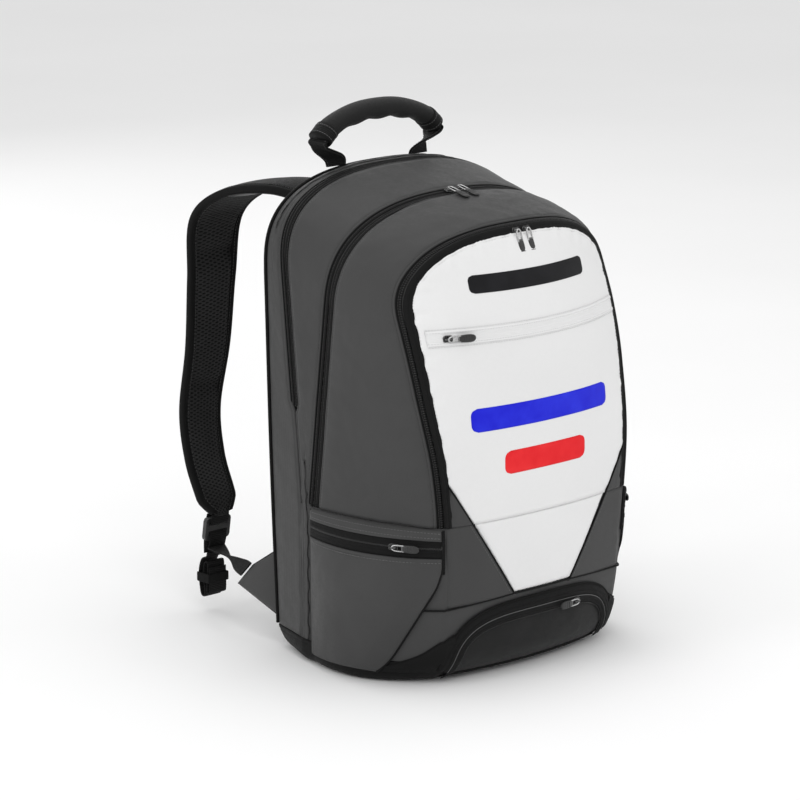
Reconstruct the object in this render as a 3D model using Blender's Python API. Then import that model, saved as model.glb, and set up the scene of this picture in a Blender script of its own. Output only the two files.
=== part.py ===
"""Racket backpack: a standing bag with a hinged main lid, a zipped front flap, a shoe compartment,
two side pockets, a padded back, a carrying handle and two padded shoulder straps.

Frame: metres, +Z up, -Y is the front of the bag, +Y the wearer's side, X = 0 the plane of symmetry.
The origin is the middle of the flat base, on the ground.

The bag's wall is a skin stretched over four upright hoops. From back to front they are the back edge,
the back zip, the main zip and the flap zip, and a domed front closes the last of them.
"""

import math

import bmesh
import bpy
from mathutils import Matrix, Vector

# ---- driving dimensions ---------------------------------------------------------------------------
BACK_Y = 0.102  # outer face of the back wall
RIM_Z = 0.168  # top of the lower shell, where the lid and the flap start
BACK_ZIP_END_Z = 0.285  # the back zip stops here, well above the rim
WALL = 0.0025  # fabric, foam and lining together
GAP = 0.0004  # between pieces that touch
SIDE_RADIUS = 0.012  # rounding between the sides and the base
FRONT_RADIUS = 0.034  # rounding between the front and the base
TAPE = 0.0105  # width of one half of a zip tape
TAPE_THICK = 0.0016
COIL = 0.0040  # half width of the zip's teeth, which stay with the half that carries the slider
ARCH_STEPS = 18

# Each hoop: (height, half width) rows, top height, height of its arched part, and how square the arch is.
BACK_EDGE = {"half": ((0, 0.142), (0.2, 0.151), (0.4, 0.157)), "top": 0.499, "arch": 0.090, "power": 2.6}
BACK_ZIP = {"half": ((0, 0.160), (0.2, 0.161), (0.4, 0.163)), "top": 0.502, "arch": 0.092, "power": 2.6}
MAIN_ZIP = {"half": ((0, 0.162), (0.165, 0.163), (0.4, 0.164)), "top": 0.480, "arch": 0.098, "power": 2.5}
FLAP_ZIP = {
    "half": (
        (0, 0.118), (0.07, 0.127), (0.165, 0.131), (0.23, 0.137), (0.30, 0.144), (0.36, 0.147), (0.40, 0.147)
    ),
    "top": 0.458,
    "arch": 0.085,
    "power": 2.5,
}
# The domed front: depth of its middle line, and how far its edges stand back, by height.
FRONT_Y = (
    (0, -0.132), (0.07, -0.140), (0.17, -0.143), (0.30, -0.143), (0.36, -0.137), (0.42, -0.121), (0.458, -0.104)
)
FRONT_CURVE = (
    (0, 0.016), (0.165, 0.012), (0.23, 0.015), (0.30, 0.029), (0.36, 0.040), (0.40, 0.044), (0.458, 0.034)
)

LID_AXIS = Vector((0, -0.1475, RIM_Z))
SHOE_AXIS = Vector((0, -0.1190, 0.0065))
SHOE_TOP_Z, SHOE_LOW_Z, SHOE_HALF = 0.068, 0.008, 0.112
POCKET_PROUD = 0.0050  # how far the side pockets stand off the shell at their seams
FLAP_POCKET_Z = 0.358
FLAP_POCKET_HALF = 0.128
STRAP_THICK = 0.011
STRAP_PIVOT = Vector((0, 0.1085, 0.470))
WEBBING, WEBBING_THICK = 0.025, 0.0016
PULLER_LENGTH, PULLER_HALF, PULLER_THICK = 0.030, 0.0042, 0.0016
HANDLE_PIVOT = Vector((0, 0.102, 0.5035))

SIDES = (("left", -1), ("right", 1))

# ---- colours, as linear RGB -------------------------------------------------------------------------
GREY = ("body_fabric", (0.075, 0.075, 0.078), 0.55)
WHITE = ("white_panel", (0.88, 0.88, 0.88), 0.45)
BLACK = ("black_fabric", (0.012, 0.012, 0.013), 0.6)
MESH = ("air_mesh", (0.014, 0.014, 0.015), 0.9)
TAPE_BLACK = ("zip_tape", (0.01, 0.01, 0.011), 0.7)
LINING = ("lining", (0.045, 0.045, 0.048), 0.8)
WEB = ("webbing", (0.012, 0.012, 0.012), 0.75)
METAL = ("zip_metal", (0.10, 0.10, 0.105), 0.25)
PLASTIC = ("buckle_plastic", (0.012, 0.012, 0.012), 0.4)
BOARD = ("board", (0.20, 0.20, 0.21), 0.6)


def material(finish):
    """The Principled material of a finish, made once."""
    name, colour, roughness = finish
    found = bpy.data.materials.get(name)
    if found:
        return found
    made = bpy.data.materials.new(name)
    made.use_nodes = True
    shader = made.node_tree.nodes["Principled BSDF"]
    shader.inputs["Base Color"].default_value = (*colour, 1)
    shader.inputs["Roughness"].default_value = roughness
    shader.inputs["Metallic"].default_value = 0.9 if finish is METAL else 0.0
    return made


# ---- the bag's surface ------------------------------------------------------------------------------
def graded(rows, z):
    """Value at height z on a smooth curve through (height, value) rows."""
    if z <= rows[0][0]:
        return rows[0][1]
    for i in range(len(rows) - 1):
        (z0, v0), (z1, v1) = rows[i], rows[i + 1]
        if z <= z1:
            before, after = rows[max(i - 1, 0)], rows[min(i + 2, len(rows) - 1)]
            start = (v1 - before[1]) / (z1 - before[0])
            end = (after[1] - v0) / (after[0] - z0)
            t, span = (z - z0) / (z1 - z0), z1 - z0
            return (
                (2 * t**3 - 3 * t**2 + 1) * v0
                + (t**3 - 2 * t**2 + t) * span * start
                + (3 * t**2 - 2 * t**3) * v1
                + (t**3 - t**2) * span * end
            )
    return rows[-1][1]


def undercut(z, radius):
    """How far a wall is drawn in at height z by its rounding into the base."""
    if z >= radius:
        return 0.0
    return radius - math.sqrt(radius**2 - (radius - z) ** 2)


def front_y(x, z):
    """Depth of the domed front over the point (x, z) of the front view."""
    share = min(abs(x) / graded(FLAP_ZIP["half"], z), 1.1)
    return graded(FRONT_Y, z) + graded(FRONT_CURVE, z) * share**2 + undercut(z, FRONT_RADIUS)


def hoop_y(hoop, x, z):
    """Depth of a hoop. It stands in a leaning plane, but the flap zip's lies on the domed front."""
    high = max(z, RIM_Z)
    if hoop is BACK_EDGE:
        return BACK_Y
    if hoop is BACK_ZIP:
        return 0.056 + 0.09 * (high - 0.285)
    if hoop is MAIN_ZIP:
        return 0.0275 - 0.122 * (high - 0.165)
    return front_y(x, z)


def hoop_line(hoop, low, inset=0.0, arch=ARCH_STEPS):
    """(point, outward direction) pairs along a hoop, from its left foot at height low to its right foot."""
    spring = hoop["top"] - hoop["arch"]
    foot = max(low, BACK_ZIP_END_Z)
    heights = [foot + (spring - foot) * i / 3 for i in range(3)]
    if low < BACK_ZIP_END_Z:
        heights = [low + (BACK_ZIP_END_Z - 0.010 - low) * i / 3 for i in range(4)] + heights
    side = [(graded(hoop["half"], z) - inset, z) for z in heights]
    width, rise, power = graded(hoop["half"], spring) - inset, hoop["arch"] - inset, hoop["power"]
    line = [(-x, z, -1.0, 0.0) for x, z in side]
    for i in range(arch + 1):
        angle = math.pi * (1 - i / arch)
        c, s = math.cos(angle), math.sin(angle)
        share_x, share_z = abs(c) ** (2 / power), abs(s) ** (2 / power)
        across, above = math.copysign(share_x ** (power - 1), c) / width, share_z ** (power - 1) / rise
        out = Vector((across, above)).normalized()
        line.append((math.copysign(width * share_x, c), spring + rise * share_z, out.x, out.y))
    line += [(x, z, 1.0, 0.0) for x, z in reversed(side)]
    return [(Vector((x, hoop_y(hoop, x, z), z)), Vector((ox, 0, oz))) for x, z, ox, oz in line]


def gusset_rows(back, front, share_from, share_to, low, bulge=0.0, rows=3):
    """Rows of points on the skin between two hoops, over a range of its depth. It bulges less on top."""
    pairs = list(zip(hoop_line(back, low), hoop_line(front, low)))
    grid = []
    for j in range(rows + 1):
        share = share_from + (share_to - share_from) * j / rows
        row = []
        for (a, out_a), (b, out_b) in pairs:
            out = (out_a + out_b).normalized()
            rise = 4 * bulge * share * (1 - share) * (0.3 + 0.7 * out.x**2)
            row.append(a.lerp(b, share) + out * rise)
        grid.append(row)
    return grid


def side_line(z, count=7):
    """Plan of the left wall at height z, from the back zip to the flap zip. It bulges most at the base."""
    bulge = graded(((0, 0.026), (0.05, 0.021), (0.165, 0.010)), z)
    marks = []
    for hoop in (BACK_ZIP, MAIN_ZIP, FLAP_ZIP):
        half = graded(hoop["half"], z)
        marks.append(Vector((-half, hoop_y(hoop, -half, z), z)))
    chord = marks[2] - marks[1]
    out = Vector((chord.y, -chord.x, 0)).normalized()
    line = [marks[0]]
    for i in range(count):
        t = i / (count - 1)
        line.append(marks[1].lerp(marks[2], t) + out * 4 * bulge * t * (1 - t))
    return line


def plan_loop(z):
    """Plan of the lower shell at height z, starting at the back's middle."""
    half = graded(BACK_EDGE["half"], z)
    corner = 0.024
    left = [Vector((-x, BACK_Y, z)) for x in (0, 0.05, 0.10)]
    for i in range(3):
        angle = math.radians(90 + 30 * i)
        x, y = corner * math.cos(angle), corner * math.sin(angle)
        left.append(Vector((corner - half + x, BACK_Y - corner + y, z)))
    left += side_line(z)
    edge = graded(FLAP_ZIP["half"], z)
    left += [Vector((-x, front_y(x, z), z)) for x in (edge * f for f in (0.93, 0.78, 0.55, 0.28, 0.0))]
    loop = left + [Vector((-p.x, p.y, p.z)) for p in reversed(left[1:-1])]
    moved = []
    for i, point in enumerate(loop):
        along = loop[(i + 1) % len(loop)] - loop[i - 1]
        out = Vector((along.y, -along.x, 0)).normalized()
        moved.append(point - out * undercut(z, SIDE_RADIUS) * (1 - max(0.0, -out.y)))
    return moved


# ---- making objects ---------------------------------------------------------------------------------
def new_object(name, mesh, finish, pivot=None):
    """An object for a mesh. Its origin goes to pivot, where a moving piece turns."""
    mesh.materials.append(material(finish))
    made = bpy.data.objects.new(name, mesh)
    bpy.context.scene.collection.objects.link(made)
    if pivot is not None:
        mesh.transform(Matrix.Translation(-Vector(pivot)))
        made.location = pivot
    return made


def mesh_of(name, points, faces):
    mesh = bpy.data.meshes.new(name)
    mesh.from_pydata([tuple(p) for p in points], [], faces)
    mesh.update()
    mesh.shade_smooth()
    mesh.set_sharp_from_angle(angle=math.radians(35))
    return mesh


def outward(mesh):
    """The mesh of a closed solid, with its faces turned out."""
    shape = bmesh.new()
    shape.from_mesh(mesh)
    bmesh.ops.recalc_face_normals(shape, faces=shape.faces)
    shape.to_mesh(mesh)
    shape.free()
    return mesh


def sheet(name, grid, thickness, finish, pivot=None, flip=False, wrap=False):
    """A wall: a grid of points given a thickness inwards, away from the side its faces point to."""
    columns = len(grid[0])
    points = [p for row in grid for p in row]
    faces = []
    for r in range(len(grid) - 1):
        for c in range(columns if wrap else columns - 1):
            a, b = r * columns + c, r * columns + (c + 1) % columns
            quad = (a, b, b + columns, a + columns)
            faces.append(quad[::-1] if flip else quad)
    made = new_object(name, mesh_of(name, points, faces), finish, pivot)
    thicken(made, thickness)
    return made


def thicken(made, thickness):
    wall = made.modifiers.new("Wall", "SOLIDIFY")
    wall.thickness = thickness
    wall.offset = -1
    wall.use_even_offset = True


def loft(name, loops, finish, pivot=None):
    """A closed solid through a row of loops with flat ends."""
    count = len(loops[0])
    points = [p for loop in loops for p in loop]
    faces = [tuple(range(count))[::-1], tuple(range(len(points) - count, len(points)))]
    for r in range(len(loops) - 1):
        for c in range(count):
            a, b = r * count + c, r * count + (c + 1) % count
            faces.append((a, b, b + count, a + count))
    return new_object(name, outward(mesh_of(name, points, faces)), finish, pivot)


def prism(name, outline, depth, finish, pivot=None, bevel=0.0):
    """A flat outline, a list of points, pushed along the vector depth."""
    made = loft(name, [outline, [p + depth for p in outline]], finish, pivot)
    if bevel:
        edge = made.modifiers.new("Edge", "BEVEL")
        edge.width = bevel
        edge.segments = 1
        edge.limit_method = "ANGLE"
    return made


def band(name, line, across, width, thickness, finish, pivot=None):
    """Flat webbing: a strip along a line of points, with one width direction for each point.
    Both faces are split along the same diagonals, so that the strip keeps its thickness where it twists."""
    points = []
    for i, point in enumerate(line):
        along = (line[min(i + 1, len(line) - 1)] - line[max(i - 1, 0)]).normalized()
        side = across[i].normalized()
        up = along.cross(side).normalized() * thickness / 2
        side = side * width / 2
        points += [point + side + up, point - side + up, point - side - up, point + side - up]
    last = len(points) - 4
    faces = [(3, 2, 1, 0), (last, last + 1, last + 2, last + 3)]
    for r in range(0, last, 4):
        for c in range(4):
            a, b = r + c, r + (c + 1) % 4
            if c == 2:
                faces += [(a, b, a + 4), (b, b + 4, a + 4)]
            else:
                faces += [(a, b, b + 4), (a, b + 4, a + 4)]
    return new_object(name, outward(mesh_of(name, points, faces)), finish, pivot)


def mirrored(point, sign):
    """A point of the left side (sign -1), or its mirror image on the right."""
    return Vector((-sign * point.x, point.y, point.z))


def smooth_line(marks, steps):
    """Points on a smooth curve through marks."""
    line = []
    for i in range(len(marks) - 1):
        before, after = marks[max(i - 1, 0)], marks[min(i + 2, len(marks) - 1)]
        for j in range(steps):
            t = j / steps
            line.append(
                0.5
                * (
                    2 * marks[i]
                    + (marks[i + 1] - before) * t
                    + (2 * before - 5 * marks[i] + 4 * marks[i + 1] - after) * t**2
                    + (3 * marks[i] - before - 3 * marks[i + 1] + after) * t**3
                )
            )
    return line + [marks[-1].copy()]


def cut(target, outline, depth):
    """Takes a prism out of an object with a Boolean."""
    cutter = prism(target.name + "_cutter", outline, depth, LINING)
    cutter.hide_render = True
    cutter.display_type = "WIRE"
    hole = target.modifiers.new("Opening", "BOOLEAN")
    hole.operation = "DIFFERENCE"
    hole.object = cutter


# ---- lower shell, base and shoe compartment ------------------------------------------------------------
def shoe_arch(steps=16):
    """The shoe door's upper edge, from left to right, as (x, z) pairs: flat on top with round ends."""
    pairs = []
    for i in range(steps + 1):
        u = 2 * i / steps - 1
        rise = max(1 - abs(u) ** 3.2, 0.12)
        pairs.append((SHOE_HALF * math.sin(u * math.pi / 2), SHOE_LOW_Z + (SHOE_TOP_Z - SHOE_LOW_Z) * rise))
    return pairs


def grown(pairs, distance):
    """A line of (x, z) pairs moved outwards, square to itself. It runs from left to right."""
    moved = []
    for i, (x, z) in enumerate(pairs):
        (x0, z0), (x1, z1) = pairs[max(i - 1, 0)], pairs[min(i + 1, len(pairs) - 1)]
        length = math.hypot(x1 - x0, z1 - z0)
        moved.append((x - (z1 - z0) / length * distance, z + (x1 - x0) / length * distance))
    return moved


def build_lower_shell():
    levels = (0, 0.0035, 0.009, 0.020, FRONT_RADIUS, 0.07, 0.11, RIM_Z)
    grid = [plan_loop(z) for z in levels]
    columns = len(grid[0])
    points = [p for row in grid for p in row]
    faces = [tuple(range(columns))[::-1]]
    for r in range(len(grid) - 1):
        for c in range(columns):
            a, b = r * columns + c, r * columns + (c + 1) % columns
            faces.append((a, b, b + columns, a + columns))
    mesh = mesh_of("lower_shell", points, faces)
    shell = new_object("lower_shell", mesh, GREY)
    thicken(shell, WALL)
    arch = grown(shoe_arch(), 0.0015)
    edge = [(arch[0][0], SHOE_LOW_Z - 0.003)] + arch + [(arch[-1][0], SHOE_LOW_Z - 0.003)]
    cut(shell, [Vector((x, -0.20, z)) for x, z in edge], Vector((0, 0.105, 0)))


def build_base_board():
    outline = [Vector((p.x * 0.84, 0.007 + p.y * 0.80, 0.0060)) for p in plan_loop(0)]
    prism("base_board", outline, Vector((0, 0, 0.0025)), BOARD)


def build_lower_front():
    """The white panel's lower end, a triangle with its tip cut off, sewn to the shell below the flap."""
    grid = []
    for r in range(5):
        z = 0.087 + (RIM_Z - 0.0006 - 0.087) * r / 4
        half = 0.040 + 0.086 * (r / 4) ** 0.9
        grid.append([on_front(half * (c / 4 - 1), z, 0.0018) for c in range(9)])
    sheet("lower_front_panel", grid, 0.0012, WHITE)


def build_shoe_tunnel():
    """A shelf and a rear wall that shut the shoe compartment off from the main one."""
    half, shelf, rear, front = 0.118, 0.084, 0.045, -0.120
    floor = 0.0095
    corners = ((front, shelf), (rear - 0.012, shelf), (rear, shelf - 0.012), (rear, floor))
    grid = [[Vector((x, y, z)) for x in (-half, 0, half)] for y, z in corners]
    sheet("shoe_tunnel", grid, 0.002, LINING)


def on_front(x, z, proud):
    """A point on the domed front, standing proud of it, which near the corners is square to it."""
    step = 0.002
    slope = (front_y(x + step, z) - front_y(x - step, z)) / (2 * step)
    return Vector((x, front_y(x, z), z)) + Vector((slope, -1, 0)).normalized() * proud


def build_shoe_door():
    """The black door, domed outwards, which turns down about its lower edge."""
    rows = 5
    grid = []
    for r in range(rows + 1):
        v = r / rows
        row = []
        for x, top in shoe_arch():
            dome = 0.0045 * math.sin(math.pi * v) * (1 - (x / SHOE_HALF) ** 4)
            row.append(on_front(x, SHOE_LOW_Z + (top - SHOE_LOW_Z) * v, 0.0005 + dome))
        grid.append(row)
    sheet("shoe_door", grid, 0.0022, BLACK, pivot=SHOE_AXIS)


def build_shoe_zip():
    """The zip tape over the shoe door, sewn to the shell."""
    grid = [[on_front(x, z, 0.0030) for x, z in grown(shoe_arch(), rise)] for rise in (0.0004, TAPE)]
    sheet("shoe_zip_tape", grid, TAPE_THICK, TAPE_BLACK)


# ---- gussets, zips, lid and flap ---------------------------------------------------------------------
def depth_share(back, front, distance):
    """Share of the skin's depth between two hoops that a distance takes up, halfway up."""
    z = 0.30
    a = Vector((graded(back["half"], z), hoop_y(back, graded(back["half"], z), z)))
    b = Vector((graded(front["half"], z), hoop_y(front, graded(front["half"], z), z)))
    return distance / (b - a).length


def build_mid_gusset():
    """The wall between the back zip and the main zip. Below the back zip it runs on to the rear wall."""
    low = RIM_Z + GAP
    tape, coil, slit = (depth_share(BACK_ZIP, MAIN_ZIP, width) for width in (TAPE, COIL + GAP, 2 * GAP))
    grid = gusset_rows(BACK_ZIP, MAIN_ZIP, tape, 1 - tape, low, rows=2)
    edge = gusset_rows(BACK_ZIP, MAIN_ZIP, slit, 1, low, rows=1)[0]
    grid[0] = [e if p.z < BACK_ZIP_END_Z - 0.001 else p for p, e in zip(grid[0], edge)]
    sheet("mid_gusset", grid, WALL, GREY, flip=True)
    grid = gusset_rows(BACK_ZIP, MAIN_ZIP, coil, tape - slit, BACK_ZIP_END_Z + 0.004, rows=1)
    sheet("back_zip_front_tape", grid, TAPE_THICK, TAPE_BLACK, flip=True)
    grid = gusset_rows(BACK_ZIP, MAIN_ZIP, 1 - tape + slit, 1 - coil, low, rows=1)
    sheet("main_zip_rear_tape", grid, TAPE_THICK, TAPE_BLACK, flip=True)


def build_back_gusset():
    """The wall behind the back zip, which carries the handle, down to the shell's rim."""
    low = RIM_Z + GAP
    tape = depth_share(BACK_EDGE, BACK_ZIP, TAPE)
    grid = gusset_rows(BACK_EDGE, BACK_ZIP, 0, 1 - tape, low, rows=2)
    edge = gusset_rows(BACK_EDGE, BACK_ZIP, 0, 1, low, rows=1)[1]
    grid[-1] = [e if p.z < BACK_ZIP_END_Z - 0.001 else p for p, e in zip(grid[-1], edge)]
    sheet("back_gusset", grid, WALL, GREY, flip=True)
    grid = gusset_rows(BACK_EDGE, BACK_ZIP, 1 - tape + 0.01, 1, BACK_ZIP_END_Z + 0.004, rows=1)
    ahead = depth_share(BACK_ZIP, MAIN_ZIP, COIL)
    grid.append(gusset_rows(BACK_ZIP, MAIN_ZIP, 0, ahead, BACK_ZIP_END_Z + 0.004, rows=1)[1])
    sheet("back_zip_rear_tape", grid, TAPE_THICK, TAPE_BLACK, flip=True)


def build_front_gusset():
    """The lid's wall between the main zip and the flap zip."""
    tape = depth_share(MAIN_ZIP, FLAP_ZIP, TAPE)
    behind = depth_share(BACK_ZIP, MAIN_ZIP, COIL / 4)
    low = RIM_Z + GAP
    grid = gusset_rows(MAIN_ZIP, FLAP_ZIP, tape, 1 - tape, low, rows=4, bulge=0.010)
    sheet("front_gusset", grid, WALL, GREY, pivot=LID_AXIS, flip=True)
    grid = gusset_rows(BACK_ZIP, MAIN_ZIP, 1 - behind, 1, low, rows=1)
    grid.append(gusset_rows(MAIN_ZIP, FLAP_ZIP, 0, tape - 0.003, low, rows=1, bulge=0.010)[1])
    sheet("main_zip_front_tape", grid, TAPE_THICK, TAPE_BLACK, pivot=LID_AXIS, flip=True)
    grid = gusset_rows(MAIN_ZIP, FLAP_ZIP, 1 - tape + 0.003, 0.997, low, rows=1, bulge=0.010)
    sheet("flap_zip_rear_tape", grid, TAPE_THICK, TAPE_BLACK, pivot=LID_AXIS, flip=True)


def flap_line(inset, low):
    """Points on the domed front along the flap zip's hoop, drawn in by inset."""
    return [p for p, _ in hoop_line(FLAP_ZIP, low, inset=inset)]


def front_patch(inset, low, rows, columns):
    """A grid over the flap's face: straight rows up to the arch, then a square bent into its round top."""
    spring = FLAP_ZIP["top"] - FLAP_ZIP["arch"]
    rise, power = FLAP_ZIP["arch"] - inset, FLAP_ZIP["power"]
    lower = max(2, rows // 2)
    grid = []
    for r in range(lower):
        z = low + (spring - low) * r / lower
        half = graded(FLAP_ZIP["half"], z) - inset
        grid.append([(half * (2 * c / columns - 1), z) for c in range(columns + 1)])
    half = graded(FLAP_ZIP["half"], spring) - inset
    for r in range(rows - lower + 1):
        v = r / (rows - lower)
        row = []
        for c in range(columns + 1):
            u = 2 * c / columns - 1
            x, y = u * math.sqrt(1 - v * v / 2), v * math.sqrt(1 - u * u / 2)
            radius, angle = math.hypot(x, y), math.atan2(y, x)
            out = math.copysign(abs(math.cos(angle)) ** (2 / power), math.cos(angle))
            row.append((half * radius * out, spring + rise * radius * math.sin(angle) ** (2 / power)))
        grid.append(row)
    return grid


def build_flap():
    """The white flap, which turns down about the rim, with its half of the zip and its own zipped pocket."""
    low = RIM_Z + 0.0012
    grid = []
    for row in front_patch(TAPE + GAP, low, 12, 12):
        grid.append([Vector((x, front_y(x, z) - 0.0005, z)) for x, z in row])
    sheet("front_flap", grid, 0.004, WHITE, pivot=LID_AXIS)
    grid = [flap_line(0.0020, low), flap_line(TAPE, low)]
    sheet("flap_zip_front_tape", grid, TAPE_THICK, TAPE_BLACK, pivot=LID_AXIS, flip=True)
    across = [FLAP_POCKET_HALF * (c / 6 - 1) for c in range(13)]
    grid = [[on_front(x, FLAP_POCKET_Z + rise, 0.0024) for x in across] for rise in (-0.0065, 0.0065)]
    sheet("pocket_zip_tape", grid, 0.0014, WHITE, pivot=LID_AXIS)


def build_front_pocket():
    """The front pocket's back wall and floor, which belong to the lid."""
    low, inset = RIM_Z + 0.002, 0.010
    top_y, foot_y = -0.052, -0.078
    wall = []
    line = [p for p, _ in hoop_line(FLAP_ZIP, low, inset=inset, arch=12)]
    for p in line:
        share = (p.z - low) / (FLAP_ZIP["top"] - inset - low)
        wall.append(Vector((p.x, foot_y + (top_y - foot_y) * share, p.z)))
    lip = [Vector((-0.105, -0.128, low)), Vector((0.105, -0.128, low))]
    points = wall + lip
    left, right, count = 0, len(wall) - 1, len(wall)
    faces = [tuple(range(count))[::-1], (count, left, right, count + 1)[::-1]]
    made = new_object("front_pocket_liner", mesh_of("front_pocket_liner", points, faces), LINING, LID_AXIS)
    thicken(made, 0.0018)


# ---- inside and back panel ----------------------------------------------------------------------------
def plate(name, hoop, low, inset, depth, thickness, finish, arch=14):
    """A flat plate that fills a hoop, with its rear face at a stated depth."""
    line = [p for p, _ in hoop_line(hoop, low, inset=inset, arch=arch)]
    prism(name, [Vector((p.x, depth, p.z)) for p in line], Vector((0, -thickness, 0)), finish)


def pillow(name, low_left, high_right, depth, thickness, finish, corner=0.018):
    """A back pad: a rounded rectangle in front view, bevelled towards the wearer."""
    (x0, z0), (x1, z1) = low_left, high_right
    loops = []
    for inset, out in ((0, 0), (0, thickness * 0.55), (0.004, thickness * 0.9), (0.010, thickness)):
        loop = []
        for cx, cz, start in ((x1, z1, 0), (x0, z1, 90), (x0, z0, 180), (x1, z0, 270)):
            sx, sz = (1 if cx == x1 else -1), (1 if cz == z1 else -1)
            for k in range(4):
                angle = math.radians(start + 30 * k)
                radius = max(corner - inset, 0.003)
                centre_x, centre_z = cx - sx * corner, cz - sz * corner
                x, z = radius * math.cos(angle), radius * math.sin(angle)
                loop.append(Vector((centre_x + x, depth + out, centre_z + z)))
        loops.append(loop)
    return loft(name, loops, finish)


def build_back():
    """The back wall above the shell, its foam pads, and the board and divider inside."""
    plate("back_panel", BACK_EDGE, RIM_Z + GAP, 0.0036, BACK_Y, 0.003, BLACK)
    plate("frame_sheet", BACK_EDGE, 0.175, 0.016, BACK_Y - 0.0036, 0.0015, BOARD, arch=10)
    plate("divider", BACK_ZIP, RIM_Z + 0.006, 0.020, 0.038, 0.005, LINING, arch=10)
    face = BACK_Y + GAP
    for name, sign in SIDES:
        x = sorted((sign * 0.018, sign * 0.128))
        pillow("back_pad_" + name, (x[0], 0.185), (x[1], 0.432), face, 0.012, MESH)
    pillow("lumbar_pad", (-0.122, 0.045), (0.122, 0.155), face, 0.014, MESH)


# ---- side pockets -------------------------------------------------------------------------------------
def pocket_line(z, sagitta, count=9):
    """Plan of the left pocket's wall at height z: a true arc, which its slider can follow on one axis."""
    ends = []
    for hoop in (MAIN_ZIP, FLAP_ZIP):
        half = graded(hoop["half"], z)
        ends.append(Vector((-half, hoop_y(hoop, half, z), z)))
    back, front = ends
    chord = front - back
    out = Vector((chord.y, -chord.x, 0)).normalized()
    centre, radius = arc_centre(back, front, out, sagitta)
    back, front = back + out * POCKET_PROUD, front + out * POCKET_PROUD
    reach = math.asin(chord.length / 2 / radius)
    line = []
    for i in range(count):
        turn = Matrix.Rotation(reach * (2 * i / (count - 1) - 1), 4, "Z")
        line.append(centre + out * POCKET_PROUD + turn @ (out * radius))
    return [Vector((p.x, p.y, z)) for p in line]


def arc_centre(start, end, out, sagitta):
    """Centre and radius of the arc from start to end that bulges along out."""
    half = (end - start).length / 2
    radius = (half**2 + sagitta**2) / (2 * sagitta)
    return (start + end) / 2 + out * (sagitta - radius), radius


# (height, bulge) rows of the side pocket and of the zip above it
POCKET_SHAPE = ((0.016, 0.0262), (0.030, 0.0285), (0.065, 0.0315), (0.10, 0.0300), (0.141, 0.0225))
POCKET_ZIP_SHAPE = ((0.1418, 0.0224), (0.155, 0.0195), (0.1665, 0.0115))


def build_side_pocket(name, sign):
    grid = [[mirrored(p, sign) for p in pocket_line(z, sagitta)] for z, sagitta in POCKET_SHAPE]
    sheet("side_pocket_" + name, grid, WALL, GREY, flip=sign > 0)
    grid = [[mirrored(p, sign) for p in pocket_line(z, sagitta)] for z, sagitta in POCKET_ZIP_SHAPE]
    sheet("side_pocket_zip_" + name, grid, TAPE_THICK, TAPE_BLACK, flip=sign > 0)


# ---- zip sliders and pullers ----------------------------------------------------------------------------
def slider_frame(origin, travel, outward):
    """A matrix whose X runs along the zip and whose Z points away from the bag."""
    x = travel.normalized()
    z = (outward - x * outward.dot(x)).normalized()
    y = z.cross(x)
    placed = Matrix.Identity(4)
    placed.col[0].xyz, placed.col[1].xyz, placed.col[2].xyz, placed.col[3].xyz = x, y, z, origin
    return placed


def rounded(half_x, half_y, corner, centre_x=0.0):
    """A rounded rectangle, as (x, y) pairs."""
    pairs = []
    for sx, sy, start in ((1, 1, 0), (-1, 1, 90), (-1, -1, 180), (1, -1, 270)):
        for k in range(3):
            angle = math.radians(start + 45 * k)
            pairs.append(
                (
                    centre_x + sx * (half_x - corner) + corner * math.cos(angle),
                    sy * (half_y - corner) + corner * math.sin(angle),
                )
            )
    return pairs


def build_slider(name, origin, travel, away, puller, lift=0.0006):
    """A zip slider and its puller, which hangs along the direction puller from the slider's back."""
    frame = slider_frame(origin, travel, away)
    body = rounded(0.0055, 0.0040, 0.0018)
    loops = []
    for share, height in ((1, lift), (1, lift + 0.0016), (0.6, 0.0034)):
        loops.append([frame @ Vector((x * share, y * share, height)) for x, y in body])
    loft("zip_slider_" + name, loops, METAL, origin)
    out = frame.col[2].xyz.normalized()
    down = (puller - out * puller.dot(out)).normalized()
    across = down.cross(out).normalized()
    hinge = frame @ Vector((0, 0, 0.0052))
    outline = []
    for x, y in rounded(PULLER_LENGTH / 2, PULLER_HALF, PULLER_HALF * 0.8, centre_x=PULLER_LENGTH / 2 - 0.0011):
        outline.append(hinge + down * x + across * y - out * PULLER_THICK / 2)
    prism("zip_puller_" + name, outline, out * PULLER_THICK, METAL, pivot=hinge)


# ---- handle ---------------------------------------------------------------------------------------------
# x and z of the left foot's middle line, and how far it has turned from along the seam to across the grip
HANDLE_WEB_MARKS = (
    (-0.0640, 0.5000, 0.0),
    (-0.0655, 0.5060, 0.10),
    (-0.0720, 0.5120, 0.38),
    (-0.0815, 0.5175, 0.76),
    (-0.0885, 0.5220, 1.0),
    (-0.0918, 0.5262, 1.0),
    (-0.0888, 0.5292, 1.0),
)


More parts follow.
